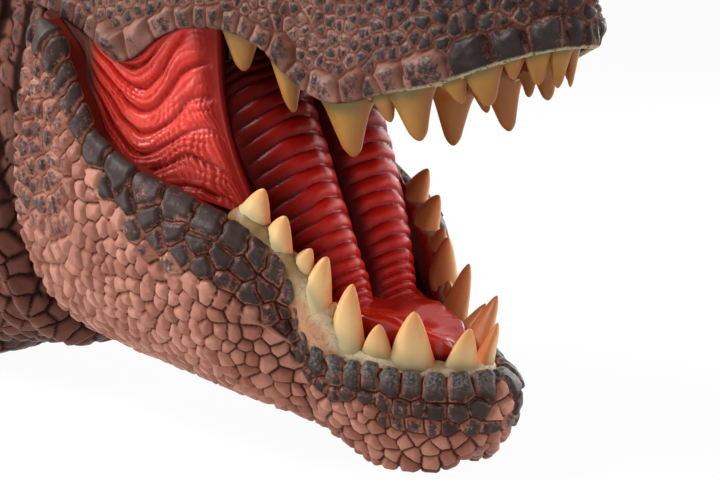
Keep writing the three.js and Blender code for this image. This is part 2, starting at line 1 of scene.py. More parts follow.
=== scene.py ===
"""Looks of a rubber hand puppet: the head of a meat-eating dinosaur with its mouth open.

Every skin is a grid of points laid on the same outlines as the solid model, in millimetres,
and pushed in and out to make scales, folds and ribs. Meshes are made in metres.
"""

import math
import random
from collections import defaultdict

import bmesh
import bpy
import numpy as np
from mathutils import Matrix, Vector, kdtree, noise

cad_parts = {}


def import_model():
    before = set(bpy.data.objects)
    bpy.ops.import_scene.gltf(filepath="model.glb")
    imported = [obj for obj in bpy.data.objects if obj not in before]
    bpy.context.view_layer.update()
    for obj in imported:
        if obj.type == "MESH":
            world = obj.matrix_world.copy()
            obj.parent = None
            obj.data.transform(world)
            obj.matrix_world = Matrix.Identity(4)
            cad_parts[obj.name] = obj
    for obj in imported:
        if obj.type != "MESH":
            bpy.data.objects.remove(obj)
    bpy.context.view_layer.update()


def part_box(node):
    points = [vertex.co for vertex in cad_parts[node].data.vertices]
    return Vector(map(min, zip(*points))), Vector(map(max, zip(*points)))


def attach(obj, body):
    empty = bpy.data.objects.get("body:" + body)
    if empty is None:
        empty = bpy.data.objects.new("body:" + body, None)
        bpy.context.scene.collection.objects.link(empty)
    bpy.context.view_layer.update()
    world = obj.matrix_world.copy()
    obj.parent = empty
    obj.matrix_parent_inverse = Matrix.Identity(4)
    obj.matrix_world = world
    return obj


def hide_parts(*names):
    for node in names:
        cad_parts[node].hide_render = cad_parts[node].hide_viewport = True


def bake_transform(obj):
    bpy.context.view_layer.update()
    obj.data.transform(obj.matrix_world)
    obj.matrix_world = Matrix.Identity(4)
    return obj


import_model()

MM = 0.001
SIDES = {1: "left", -1: "right"}

# Walls
SKIN_WALL = 2.5
NECK_WALL = 2.8
WEB_WALL = 1.2
LINING_WALL = 1.6

# Head
NOSE_SETBACK = 14
NOSE_FROM = 42
HEAD_SIDES = 0.52
HEAD_RISE = 1.12
BROW_HEIGHT = 6
BROW_X = 10
BROW_ACROSS = 25
BROW_LENGTH = 16
BROW_WIDTH = 8
BROW_FOOT = (0.4, 0.7)

# Lower jaw
JAW_SIDES = 0.6
JAW_DEPTH_CURVE = 1.05
CHIN_FROM = 30
BULGE_HIGH = 0.6
RAMUS_SWEEP = 15
RAMUS_FROM = 0.62
RAMUS_BOW = 1.2
CHIN_LOBE_DROP = 8
CHIN_LOBE_X = 70
CHIN_LOBE_Y = 11
CHIN_LOBE_LENGTH = 20
CHIN_LOBE_WIDTH = 7
CHIN_LOBE_FOOT = (0.3, 0.8)

# Outlines of one side, front to back: (x, half-width, z)
UPPER_LIP = [
    (119.1, 0, 104.5), (117, 4.6, 104.5), (112, 9.4, 103.6), (104.5, 14, 101.4), (95.4, 17.6, 98.2),
    (88, 20, 95.6), (75.4, 22.5, 93.2), (61, 24.5, 90.2), (52.4, 25.7, 92), (46, 26.7, 96),
    (38, 29, 103), (27, 32, 106.6), (12.4, 35, 105.6), (-4.3, 37.3, 97.5), (-20, 37.3, 105),
    (-42, 36.6, 112),
]
LOWER_RIM = [
    (88.5, 0, 24.3), (86, 7, 24.3), (78, 13.2, 24.3), (68.6, 19.2, 26), (57.6, 23.5, 27.6),
    (52.4, 25.2, 32.5), (49.6, 26, 41), (46.6, 27.4, 48.3), (39.4, 30.4, 55.3), (25.6, 35.4, 62.3),
    (9, 40, 69), (0.4, 41, 72.6), (-6.4, 41.8, 77.5), (-10.5, 42.2, 84), (-15, 42.5, 92),
    (-19.5, 42.5, 99), (-28, 42.5, 106.5),
]
LOWER_GUM_TOP = [
    (83.7, 0, 25), (82.6, 4, 25), (74, 10.2, 25.5), (66.5, 14.8, 27.3), (59.5, 18.5, 29.5),
    (56.3, 20.8, 34.5), (53.6, 22.4, 40.5), (49.5, 24, 47), (43.6, 26, 53), (38, 28, 59),
    (30, 30.6, 64), (20, 33, 68),
]
# Top of the head and underside of the jaw in the middle plane: (x, z)
CROWN = [
    (-42, 153.4), (-25, 155.9), (-8, 155.4), (8, 151.9), (22, 146.9), (42, 141.4), (62, 137.9),
    (85, 135.4), (106, 128.4),
]
KEEL = [(-30, 17), (0, 13.5), (30, 9), (55, 5.5), (74, 3.2)]
# Neck from the hem to the collar: (x, half-width, lowest z, highest z)
NECK_STATIONS = [
    (-120, 46, -1.6, 131), (-112, 45.6, -1.2, 133), (-104, 43.5, 4, 136), (-94, 41.5, 9, 139),
    (-84, 42, 10.5, 141.5), (-74, 40.8, 11.5, 143.5), (-65, 41.2, 12, 145.5), (-57, 39.4, 15, 145.5),
    (-52, 36.8, 26.5, 141.5), (-46, 36.5, 28, 140.5), (-26, 36, 29, 139),
]
NECK_SQUARENESS = 2.4


def mix(a, b, share):
    return a + (b - a) * share


def ease(value, start, end):
    """0 before start, 1 after end, smooth between."""
    share = np.clip((np.asarray(value, float) - start) / (end - start), 0, 1)
    return share * share * (3 - 2 * share)


def fade(value, start, end):
    """1 before start, 0 after end, smooth between."""
    return ease(-np.asarray(value, float), -end, -start)


def bump(value, centre, width):
    return np.exp(-(((value - centre) / width) ** 2))


def unit(vectors):
    return vectors / np.maximum(np.linalg.norm(vectors, axis=-1, keepdims=True), 1e-9)


def nearest(values, wanted):
    """Number of the value that is nearest to the wanted one."""
    return int(np.argmin(np.abs(values - wanted)))


def xyz(points):
    return np.moveaxis(points, -1, 0)


def grid(along, across):
    """Two grids, [column, row], of the numbers along the columns and across them."""
    return np.meshgrid(along, across, indexing="ij")


def spread(start, end, steps):
    """Numbers from start to end, so many equal steps apart."""
    return np.linspace(start, end, steps + 1)


def turns(count):
    """Angles once round, as many as that."""
    return np.linspace(0, 2 * math.pi, count, endpoint=False)


def rounded_square(angle, squareness):
    """Places from -1 to 1, across and up, round a form between a circle, squareness 2, and a square."""
    power = 2 / squareness
    return [np.sign(wave) * np.abs(wave) ** power for wave in (np.cos(angle), np.sin(angle))]


def at_key(stations, key):
    """Straight run through stations of (key, value)."""
    table = np.array(stations, float)
    return np.interp(key, table[:, 0], table[:, 1])


def through(stations, keys):
    """Smooth run through stations of (key, value, ...) in rising order of key."""
    table = np.array(stations, float)
    key, values = table[:, 0], table[:, 1:]
    keys = np.asarray(keys, float)
    last = len(key) - 1
    place = np.arange(last + 1)
    before, after = np.maximum(place - 1, 0), np.minimum(place + 1, last)
    slope = (values[after] - values[before]) / (key[after] - key[before])[:, None]
    i = np.clip(np.searchsorted(key, keys) - 1, 0, last - 1)
    span = (key[i + 1] - key[i])[..., None]
    u = (keys - key[i])[..., None] / span
    start = (1 + 2 * u) * (1 - u) ** 2
    leave = u * (1 - u) ** 2 * span
    arrive = u * u * (u - 1) * span
    return start * values[i] + (1 - start) * values[i + 1] + leave * slope[i] + arrive * slope[i + 1]


def direction(at, s, step):
    """Which way a line runs at s, from its points a step before and after."""
    return unit(at(np.minimum(s + step, 1)) - at(np.maximum(s - step, -1)))


class Line:
    """A line round one jaw: at(s) runs from the rear right, s = -1, by the front, 0, to the rear left, 1."""

    STEP = 0.004

    def __init__(self, outline):
        points = np.array(outline, float)
        steps = np.linalg.norm(np.diff(points, axis=0), axis=1)
        self.length = steps.sum()
        run = np.concatenate([[0], np.cumsum(steps)]) / self.length
        mirrored = [-steps[0] / self.length, points[1][0], -points[1][1], points[1][2]]
        self.stations = np.vstack([mirrored, np.column_stack([run, points])])

    def at(self, s):
        s = np.asarray(s, float)
        points = through(self.stations, np.abs(s))
        points[..., 1] *= np.where(s < 0, -1, 1)
        return points

    def outward(self, s):
        """Level direction away from the mouth."""
        way = direction(self.at, s, self.STEP)
        way[..., 2] = 0
        way = unit(way)
        return np.stack([way[..., 1], -way[..., 0], np.zeros_like(way[..., 0])], -1)

    def shifted(self, s, out, up):
        points = self.at(s) + self.outward(s) * out
        points[..., 2] += up
        return points


lip = Line(UPPER_LIP)
rim = Line(LOWER_RIM)
gum_line = Line(LOWER_GUM_TOP)

# How far the skin under the rim swells out: (distance along the rim, swell)
RIM_SWELL = [
    (0, 4), (28, 3), (42, 0.8), (60, 0.8), (74, 5), (86, 8), (98, 6), (110, 4.2), (120, 3.2), (130, 2.6),
    (166, 2.5),
]


def domed(edge, middle_x, middle_z, share, sides, rise):
    """Skin between a jaw's edge, share 0, and its line in the middle plane, share 1."""
    inwards = np.where(share >= 1, 0, np.cos(np.minimum(share, 1) * math.pi / 2)) ** sides
    up = np.sin(share * math.pi / 2) ** rise
    x = mix(middle_x, edge[..., 0], inwards)
    return np.stack([x, edge[..., 1] * inwards, mix(edge[..., 2], middle_z, up)], -1)


def set_back(x, start, end, most):
    return x - most * np.clip((x - start) / (end - start), 0, 1) ** 2


def head_point(s, share):
    edge = lip.at(s)
    top_x = set_back(edge[..., 0], NOSE_FROM, UPPER_LIP[0][0], NOSE_SETBACK)
    points = domed(edge, top_x, through(CROWN, top_x)[..., 0], share, HEAD_SIDES, HEAD_RISE)
    x, y, z = xyz(points)
    ridge = bump(x, BROW_X, BROW_LENGTH) * bump(np.abs(y), BROW_ACROSS, BROW_WIDTH)
    z += BROW_HEIGHT * ridge * ease(share, *BROW_FOOT)
    return points


def jaw_point(s, share):
    edge = rim.shifted(s, SKIN_WALL, 0)
    chin_x = LOWER_RIM[0][0] + SKIN_WALL
    low_x = set_back(edge[..., 0], CHIN_FROM, chin_x, chin_x - KEEL[-1][0])
    points = domed(edge, low_x, through(KEEL, low_x)[..., 0], share, JAW_SIDES, JAW_DEPTH_CURVE)
    rear = ease(np.abs(s), RAMUS_FROM, 1)
    swell = through(RIM_SWELL, np.abs(s) * rim.length)[..., 0] * np.sin(math.pi * share ** BULGE_HIGH)
    points += rim.outward(s) * swell[..., None]
    x, y, z = xyz(points)
    x -= RAMUS_SWEEP * rear * np.abs(np.sin(math.pi * share)) ** RAMUS_BOW
    lobe = bump(x, CHIN_LOBE_X, CHIN_LOBE_LENGTH) * bump(np.abs(y), CHIN_LOBE_Y, CHIN_LOBE_WIDTH)
    points[..., 2] = np.maximum(z - CHIN_LOBE_DROP * lobe * ease(share, *CHIN_LOBE_FOOT), 0)
    return points


# Grids of points, [column, row, xyz]

NOISE_SHIFT = 17.3
WARP_SEEDS = (31, 32, 33)


def resampled(dense, rows, edge_row):
    """Columns of points at equal steps, and each one's distance from the column's point number edge_row."""
    steps = np.linalg.norm(np.diff(dense, axis=1), axis=2)
    run = np.concatenate([np.zeros((len(dense), 1)), np.cumsum(steps, axis=1)], axis=1)
    points = np.empty((len(dense), rows + 1, 3))
    distance = np.empty((len(dense), rows + 1))
    for n, column in enumerate(dense):
        wanted = np.linspace(0, run[n, -1], rows + 1)
        for axis in range(3):
            points[n, :, axis] = np.interp(wanted, run[n], column[:, axis])
        distance[n] = wanted - run[n, edge_row]
    return points, distance


def normals_of(points, away_from, seam=False):
    """Unit normals of a grid, away from a point. A seam joins each last row with its mirror image."""
    normals = unit(np.cross(np.gradient(points, axis=0), np.gradient(points, axis=1)))
    if seam:
        normals[:, -1] += normals[::-1, -1].copy()
        normals[:, -1, 1] = 0
        normals = unit(normals)
    if np.sum(normals * (points - np.array(away_from, float))) < 0:
        normals = -normals
    return normals


def rough(points, size, seed=0):
    """Smooth noise, -1 to 1, with features of about that size in millimetres."""
    flat = points.reshape(-1, 3) / size + seed * NOISE_SHIFT
    values = np.fromiter((noise.noise(Vector(p)) for p in flat.tolist()), float, len(flat))
    return values.reshape(points.shape[:-1])


def lumps(points, *layers):
    """Height of lumpy rubber, in layers of (height, size, seed)."""
    return sum(height * rough(points, size, seed) for height, size, seed in layers)


def warped(points, size, amount):
    """The points, moved about by smooth noise, so that edges drawn on them wander."""
    return points + amount * np.stack([rough(points, size, seed) for seed in WARP_SEEDS], -1)


def raised(points, normals, lift):
    return points + normals * lift[..., None]


# Width of the groove round a scale, and how steeply a scale rises from it
GROOVE = 0.15
PILLOW_CURVE = 2.2
# Seeds looked at round a point, and the most that a slanting edge is stretched
NEIGHBOURS = 9
MOST_SLANT = 1.6
LEAN_SEED = 5


def pillow(inside, radius):
    """Rounded height of a scale: 0 at its edge, 1 from that distance inwards."""
    share = np.clip((inside - GROOVE) / radius, 0, 1)
    return 1 - (1 - share) ** PILLOW_CURVE


class Scales:
    """Scales on a skin. Each grows from one seed or more, and has a size and a share of dark paint. The mark
    plate is 1 for the plates along the lip."""

    def __init__(self, seed):
        self.random = random.Random(seed)
        self.places, self.reach, self.owner = [], [], []
        self.size, self.paint, self.plate = [], [], []

    def add(self, places, reach, size, paint, plate=0):
        for place in places:
            self.places.append(tuple(place))
            self.reach.append(reach)
            self.owner.append(len(self.size))
        self.size.append(size)
        self.paint.append(paint)
        self.plate.append(plate)

    def scatter(self, places, gaps, paints, tries):
        """Fills the free room between the seeds with new scales, each gap apart from the rest."""
        wide = float(max(np.max(gaps), max(self.size, default=0)))
        cells = defaultdict(list)

        def key(p):
            return tuple(int(math.floor(c / wide)) for c in p)

        for p, owner in zip(self.places, self.owner):
            cells[key(p)].append((p, self.size[owner]))
        for n in self.random.sample(range(len(places)), min(tries, len(places))):
            p, gap = tuple(places[n]), float(gaps[n])
            i, j, k = key(p)
            near = (q for a in (i - 1, i, i + 1) for b in (j - 1, j, j + 1) for c in (k - 1, k, k + 1)
                    for q in cells.get((a, b, c), ()))
            if all(math.dist(p, q) >= 0.5 * (gap + other) for q, other in near):
                cells[(i, j, k)].append((p, gap))
                self.add([p], 0, gap, float(paints[n]))

    def draw(self, points):
        """Finds each point's own scale, and how far the point lies inside it."""
        tree = kdtree.KDTree(len(self.places))
        for n, p in enumerate(self.places):
            tree.insert(p, n)
        tree.balance()
        flat = points.reshape(-1, 3)
        count = min(NEIGHBOURS, len(self.places))
        seed = np.empty((len(flat), count), int)
        distance = np.empty((len(flat), count))
        for n, p in enumerate(flat.tolist()):
            for m, (_, index, far) in enumerate(tree.find_n(p, count)):
                seed[n, m] = index
                distance[n, m] = far
        drawn = distance - np.array(self.reach)[seed]
        owner = np.array(self.owner)[seed]
        rows = np.arange(len(flat))
        first = np.argmin(drawn, axis=1)
        own = owner[rows, first]
        second = np.argmin(np.where(owner == own[:, None], np.inf, drawn), axis=1)
        places = np.array(self.places)
        apart = np.linalg.norm(places[seed[rows, first]] - places[seed[rows, second]], axis=1)
        lead = drawn[rows, second] - drawn[rows, first]
        spread = distance[rows, first] + distance[rows, second]
        inside = 0.5 * lead * np.minimum(spread / np.maximum(apart, 1e-6), MOST_SLANT)
        self.inside = inside.reshape(points.shape[:-1])
        self.own = own.reshape(points.shape[:-1])

    def each(self, values):
        """For each point, the value that its own scale has."""
        return np.array(values)[self.own]

    def chance(self, seed):
        """A random number, 0 to 1, for each scale."""
        return self.each(np.random.RandomState(seed).rand(len(self.size)))

    def leaning(self, points):
        """Height of scale tops that each lean their own way."""
        lean = np.random.RandomState(LEAN_SEED).normal(0, 1, (len(self.size), 3))
        middle = np.zeros((len(self.size), 3))
        np.add.at(middle, self.owner, np.array(self.places))
        middle /= np.bincount(self.owner)[:, None]
        return np.sum((points - self.each(middle)) * self.each(lean), axis=-1)


# Meshes

# The inner side of a skin has every fourth point of the outer side
INNER_STEP = 4
SKIN_WELD = 0.02
BODY_WELD = 0.001


def piece(name, vertices, faces, fields, material, weld):
    """A mesh object from vertices in millimetres, with a number per vertex for each field. Points that lie
    together are joined, and all faces turned outwards."""
    mesh = bpy.data.meshes.new(name)
    mesh.from_pydata((np.asarray(vertices) * MM).tolist(), [], faces)
    for field, values in fields.items():
        layer = mesh.attributes.new(field, "FLOAT", "POINT")
        layer.data.foreach_set("value", np.asarray(values, np.float32).ravel())
    mesh.polygons.foreach_set("use_smooth", np.ones(len(mesh.polygons), bool))
    mesh.materials.append(material)
    work = bmesh.new()
    work.from_mesh(mesh)
    bmesh.ops.remove_doubles(work, verts=work.verts, dist=weld * MM)
    bmesh.ops.recalc_face_normals(work, faces=work.faces)
    work.to_mesh(mesh)
    work.free()
    return placed(name, mesh)


def placed(name, data):
    thing = bpy.data.objects.new(name, data)
    bpy.context.scene.collection.objects.link(thing)
    return thing


def shell(name, outer, normals, wall, fields, material, first=0):
    """A closed skin: a fine outer grid, and a coarse inner one that starts at the outer row number first."""
    step = INNER_STEP
    columns, rows = outer.shape[0] - 1, outer.shape[1] - 1
    inner = (outer - normals * wall)[::step, first::step]
    count, tall = (columns + 1) * (rows + 1), inner.shape[1]

    def out(c, r):
        return c * (rows + 1) + r

    def back(c, r):
        return count + (c // step) * tall + (r - first) // step

    faces = [(out(c, r), out(c + 1, r), out(c + 1, r + 1), out(c, r + 1))
             for c in range(columns) for r in range(rows)]
    faces += [(back(c, r), back(c, r + step), back(c + step, r + step), back(c + step, r))
              for c in range(0, columns, step) for r in range(first, rows, step)]
    for c in range(0, columns, step):
        span = range(c, c + step + 1)
        faces.append([out(k, 0) for k in span][::-1] + [back(c, first), back(c + step, first)])
        faces.append([out(k, rows) for k in span] + [back(c + step, rows), back(c, rows)])
    for c in (0, columns):
        for r in range(first, rows, step):
            edge = [out(c, k) for k in range(r, r + step + 1)]
            faces.append(edge + [back(c, r + step), back(c, r)])
        if first:
            faces.append([out(c, k) for k in range(first + 1)] + [back(c, first)])
    vertices = np.concatenate([outer.reshape(-1, 3), inner.reshape(-1, 3)])
    padded = {}
    for field, values in fields.items():
        # The inner side counts as bare and takes the strip colour, which on the head is near-black painted
        # shade
        lining = np.full(inner.shape[0] * tall, float(field == "bare"))
        padded[field] = np.concatenate([np.asarray(values, float).ravel(), lining])
    return piece(name, vertices, faces, padded, material, SKIN_WELD)


def loft(name, rings, fields, material):
    """A closed body through rings of points, [ring, point, xyz]."""
    count, sides = rings.shape[:2]
    last = (count - 1) * sides
    faces = [(k + n, k + (n + 1) % sides, k + sides + (n + 1) % sides, k + sides + n)
             for k in range(0, last, sides) for n in range(sides)]
    faces.append(list(range(sides))[::-1])
    faces.append(list(range(last, last + sides)))
    return piece(name, rings.reshape(-1, 3), faces, fields, material, BODY_WELD)


# Materials. Noise sizes are in millimetres, colours are linear, and other numbers are shares.

WHITE = (1, 1, 1)
RUN_PAINT = (0.2, 0.115, 0.04)
WORN = (0.022, 0.024, 0.025)
# Grey of dust and of painted sheen on upper edges
DUST_AND_SHEEN = (0.105, 0.125, 0.115)
FRINGE = (0.36, 0.29, 0.18)
# Skin colour of the webs' rear outside the mouth, darkened as painted shade of the crease between lip and
# rim
OUTER_WEB_IN_SHADE = (0.088, 0.031, 0.022)
PUPIL = (0.006, 0.004, 0.003)
IRIS = (0.72, 0.40, 0.04)
IRIS_EDGE = (0.20, 0.055, 0.01)
EYE_RIM = (0.02, 0.012, 0.01)


class Paint:
    """Short names for building one node material."""

    def __init__(self, name):
        self.material = bpy.data.materials.new(name)
        self.material.use_nodes = True
        self.tree = self.material.node_tree
        self.shader = self.tree.nodes["Principled BSDF"]
        self.coordinates = self.tree.nodes.new("ShaderNodeTexCoord").outputs["Object"]

    def put(self, socket, value):
        if isinstance(value, bpy.types.NodeSocket):
            self.tree.links.new(value, socket)
        elif isinstance(value, tuple) and len(value) == 3 and socket.type == "RGBA":
            socket.default_value = (*value, 1)
        else:
            socket.default_value = value

    def node(self, kind, inputs):
        node = self.tree.nodes.new("ShaderNode" + kind)
        for name, value in inputs.items():
            self.put(node.inputs[name], value)
        return node

    def field(self, name):
        node = self.node("Attribute", {})
        node.attribute_name = name
        return node.outputs["Fac"]

    def noise(self, size, detail=3, roughness=0.55, stretch=(1, 1, 1)):
        """Noise from 0 to 1, with features of about that size in millimetres."""
        place = self.node("Mapping", {"Vector": self.coordinates, "Scale": stretch}).outputs["Vector"]
        node = self.node("TexNoise", {"Vector": place, "Scale": 1 / (size * MM), "Detail": detail,
                                      "Roughness": roughness})
        return node.outputs["Fac"]

    def step(self, value, low, high, start=0.0, end=1.0):
        """Smooth step of a value between low and high."""
        node = self.node("MapRange", {"Value": value, "From Min": low, "From Max": high, "To Min": start,
                                      "To Max": end})
        node.interpolation_type = "SMOOTHSTEP"
        return node.outputs["Result"]

    def math(self, operation, *values):
        node = self.node("Math", dict(enumerate(values)))
        node.operation = operation
        return node.outputs[0]

    def times(self, a, b):
        return self.math("MULTIPLY", a, b)

    def total(self, *terms):
        """Sum of values, each times its weight."""
        whole = 0.0
        for value, weight in terms:
            whole = self.math("MULTIPLY_ADD", value, weight, whole)
        return whole

    def blend(self, share, a, b):
        node = self.node("Mix", {})
        node.data_type = "RGBA"
        for number, value in ((0, share), (6, a), (7, b)):
            self.put(node.inputs[number], value)
        return node.outputs[2]

    def bump(self, height, strength, distance):
        """Fine relief. distance is in millimetres."""
        node = self.node("Bump", {"Strength": strength, "Distance": distance * MM, "Height": height})
        self.put(self.shader.inputs["Normal"], node.outputs["Normal"])

    def finish(self, colour, roughness, specular, coat=0.0, coat_roughness=0.1):
        inputs = {"Base Color": colour, "Roughness": roughness, "Specular IOR Level": specular,
                  "Coat Weight": coat, "Coat Roughness": coat_roughness}
        for name, value in inputs.items():
            self.put(self.shader.inputs[name], value)
        return self.material


def skin_material(name, light, pale, groove, dark, strip):
    """Painted rubber scales. Fields: edge 0 in the grooves and 1 on the tops, tint per scale, paint for the
    share of a scale that is brushed dark, dust_and_sheen for grey dust and painted sheen on upper edges,
    bare where there are no scales, fringe on the pale edge of a lip. The groove colour is partly painted
    shade, and on the head the strip colour of bare places is painted shade."""
    p = Paint(name)
    patch = p.noise(8, 4)
    speckle = p.noise(0.8, 5, 0.75)
    streak = p.noise(2.4, 8, 0.72, (1, 1, 0.6))
    edge = p.field("edge")
    tone = p.total((p.field("tint"), 0.55), (patch, 0.6))
    top = p.blend(p.step(tone, 0.25, 0.9), light, pale)
    # Grooves take the groove colour: on the jaw partly a dark wash and partly painted shade, on the neck
    # painted shade
    colour = p.blend(p.step(edge, 0.0, 0.44), groove, top)
    # The brush leaves paint in streaks and specks, and more of it on the tops
    cover = p.total((streak, 0.75), (speckle, 0.55), (edge, 0.28), (p.field("paint"), 0.46))
    brushed = p.step(cover, 1.098, 1.318)
    shade = p.blend(p.step(p.noise(3, 5, 0.6), 0.45, 0.8), dark, WORN)
    # Grey specks on upper edges: partly dust, partly painted sheen
    shade = p.blend(p.times(p.field("dust_and_sheen"), p.step(speckle, 0.44, 0.62)), shade, DUST_AND_SHEEN)
    colour = p.blend(p.times(brushed, 0.93), colour, shade)
    colour = p.blend(p.field("bare"), colour, strip)
    colour = p.blend(p.field("fringe"), colour, p.blend(p.step(speckle, 0.5, 0.62), FRINGE, WORN))
    p.bump(p.total((speckle, 0.6), (streak, 1.0)), 0.45, 0.35)
    gloss = p.step(p.noise(2.5, 4), 0.3, 0.75, 0.28, 0.44)
    shine = p.step(edge, 0.2, 0.9, 0.02, 0.14)
    return p.finish(colour, gloss, shine)


def mouth_material(name, deep, bright, shadow, gloss=(0.26, 0.4), specular=0.2):
    """Glossy red rubber. Fields: rib 0 in the valleys and 1 on the ridges, the valleys darker as painted
    shade, deep 1 far inside the mouth, for painted shade there, skin 1 where it has left the mouth, in a
    skin colour darkened as painted shade."""
    p = Paint(name)
    inside, outside = p.field("deep"), p.field("skin")
    # Painted shade in the valleys of folds and ribs: the rib field picks the deep colour there
    tone = p.total((p.field("rib"), 0.75), (p.noise(9, 3), 0.5))
    colour = p.blend(p.step(tone, 0.2, 1.0), deep, bright)
    # Painted shade far inside the mouth
    colour = p.blend(inside, colour, shadow)
    # Outside the mouth: a skin colour darkened as painted shade
    colour = p.blend(outside, colour, OUTER_WEB_IN_SHADE)
    p.bump(p.noise(1.3, 4, 0.6), 0.18, 0.3)
    roughness = p.total((p.step(p.noise(3, 3), 0.3, 0.7, *gloss), 1.0), (outside, 0.3))
    dull = p.math("MAXIMUM", inside, outside)
    return p.finish(colour, roughness, p.step(dull, 0.0, 1.0, specular, 0.04))


def tooth_material(name, root, middle, tip, shade, speck_colour):
    """Painted tooth. Fields: along 0 at the gum and 1 at the tip, inner 1 on the side facing the mouth. The
    shade colour there is partly airbrushed orange and partly painted shade.
    """
    p = Paint(name)
    along = p.total((p.field("along"), 1.0), (p.noise(3, 4), 0.16))
    colour = p.blend(p.step(along, 0.14, 0.44), root, middle)
    colour = p.blend(p.step(along, 0.38, 1.08), colour, tip)
    # Airbrushed orange and painted shade on the inner and front sides
    airbrush_and_shade = p.total((p.field("inner"), 1.0), (p.noise(5, 3), 0.9))
    colour = p.blend(p.times(p.step(airbrush_and_shade, -0.05, 1.05), 0.92), colour, shade)
    speck = p.step(p.noise(0.55, 2, 0.5), 0.64, 0.72)
    colour = p.blend(p.times(speck, p.step(airbrush_and_shade, 0.15, 1.35, 0.05, 0.55)), colour, speck_colour)
    p.bump(p.noise(1.2, 4, 0.6, (1, 1, 0.25)), 0.12, 0.25)
    return p.finish(colour, p.step(p.noise(4, 3), 0.3, 0.7, 0.3, 0.42), 0.32)


def gum_material(name, flesh, pale, dirt, flush):
    """Gum. Fields: collar 1 on the rough rings round the teeth, inner 1 on the side facing the mouth, rear 1
    where dark paint has run on to it."""
    p = Paint(name)
    grit = p.noise(0.8, 5, 0.7)
    patch = p.noise(5, 3)
    ring = p.total((p.field("collar"), 1.0), (patch, 0.4))
    colour = p.blend(p.step(ring, 0.35, 0.95), flesh, pale)
    stain = p.times(p.step(grit, 0.5, 0.66), p.step(patch, 0.3, 0.65, 0.2, 0.8))
    colour = p.blend(stain, colour, dirt)
    colour = p.blend(p.times(p.field("rear"), p.step(patch, 0.2, 0.6, 0.6, 1.0)), colour, RUN_PAINT)
    side = p.total((p.field("inner"), 1.0), (patch, 0.5))
    colour = p.blend(p.step(side, 0.35, 0.8), colour, flush)
    p.bump(grit, 0.4, 0.45)
    return p.finish(colour, 0.42, 0.25)


def eye_material(name):
    """Glossy eye. Fields: from_middle 0 at the pupil and 1 at the rim, slit 1 inside the upright pupil."""
    p = Paint(name)
    far = p.field("from_middle")
    rays = p.total((far, 1.0), (p.noise(0.7, 3, 0.6), 0.5))
    colour = p.blend(p.step(rays, 0.3, 1.1), IRIS, IRIS_EDGE)
    colour = p.blend(p.step(p.field("slit"), 0.35, 0.6), colour, PUPIL)
    colour = p.blend(p.step(far, 0.86, 0.97), colour, EYE_RIM)
    return p.finish(colour, 0.08, 0.6, 0.6, 0.03)


# Head: the strip colour under the lip's edge and on the inner side is near-black painted shade
head_paint = skin_material("head_paint", light=(0.18, 0.074, 0.053), pale=(0.29, 0.145, 0.11),
                           groove=(0.13, 0.047, 0.033), dark=(0.0085, 0.008, 0.009),
                           strip=(0.022, 0.004, 0.003))
# Jaw: the groove colour is partly a dark wash and partly painted shade
jaw_paint = skin_material("jaw_paint", light=(0.29, 0.108, 0.071), pale=(0.46, 0.205, 0.145),
                          groove=(0.06, 0.018, 0.011), dark=(0.0095, 0.009, 0.0095),
                          strip=(0.15, 0.016, 0.01))
# Neck: the near-black groove colour is painted shade in the scale grooves, between the rings and in the
# creases
neck_paint = skin_material("neck_paint", light=(0.125, 0.043, 0.03), pale=(0.2, 0.081, 0.058),
                           groove=(0.014, 0.004, 0.0026), dark=(0.012, 0.009, 0.008),
                           strip=(0.08, 0.033, 0.025))
# The deep colours are painted shade in valleys, and the shadow colours painted shade far inside the mouth
web_red = mouth_material("web_red", deep=(0.2, 0.004, 0.002), bright=(0.66, 0.045, 0.03),
                         shadow=(0.11, 0.003, 0.0015))
lobe_red = mouth_material("lobe_red", deep=(0.10, 0.0014, 0.0009), bright=(0.42, 0.008, 0.004),
                          shadow=(0.022, 0.0008, 0.0005), specular=0.15)
tongue_red = mouth_material("tongue_red", deep=(0.17, 0.003, 0.001), bright=(0.44, 0.014, 0.004),
                            shadow=(0.03, 0.001, 0.0006), gloss=(0.14, 0.26), specular=0.4)
upper_ivory = tooth_material("upper_ivory", root=(0.13, 0.1, 0.026), middle=(0.33, 0.15, 0.022),
                             tip=(0.29, 0.107, 0.014), shade=(0.26, 0.085, 0.016),
                             speck_colour=(0.13, 0.045, 0.011))
lower_ivory = tooth_material("lower_ivory", root=(0.50, 0.39, 0.20), middle=(0.68, 0.44, 0.19),
                             tip=(0.64, 0.285, 0.088), shade=(0.55, 0.16, 0.045),
                             speck_colour=(0.22, 0.05, 0.015))
upper_gum_paint = gum_material("upper_gum_paint", flesh=(0.30, 0.22, 0.11), pale=(0.40, 0.32, 0.18),
                               dirt=(0.10, 0.085, 0.045), flush=(0.12, 0.015, 0.008))
lower_gum_paint = gum_material("lower_gum_paint", flesh=(0.50, 0.25, 0.13), pale=(0.60, 0.46, 0.28),
                               dirt=(0.125, 0.092, 0.048), flush=(0.28, 0.012, 0.005))
eye_gloss = eye_material("eye_gloss")


# Skins of head and jaw

ROLL_POINTS = 9
DENSE_ROWS = 300
# Finding even columns: columns and rows tried, and the share of the way to the middle plane that they reach
FAN_COLUMNS = 1600
FAN_ROWS = 10
FAN_REACH = 0.9
# The rear edges of head and jaw turn in towards the neck: columns of points, how far back they bulge,
# the room left, and the neck's station there
HEM_COLUMNS = 16
HEAD_HEM_BULGE = 5
JAW_HEM_BULGE = 3
HEM_ROOM = 1.0
HEM_STATION = NECK_STATIONS[-2]
SCATTER_TRIES = 60000
# Scales scattered over head and jaw keep this far from the edge
SCATTER_FROM = 4


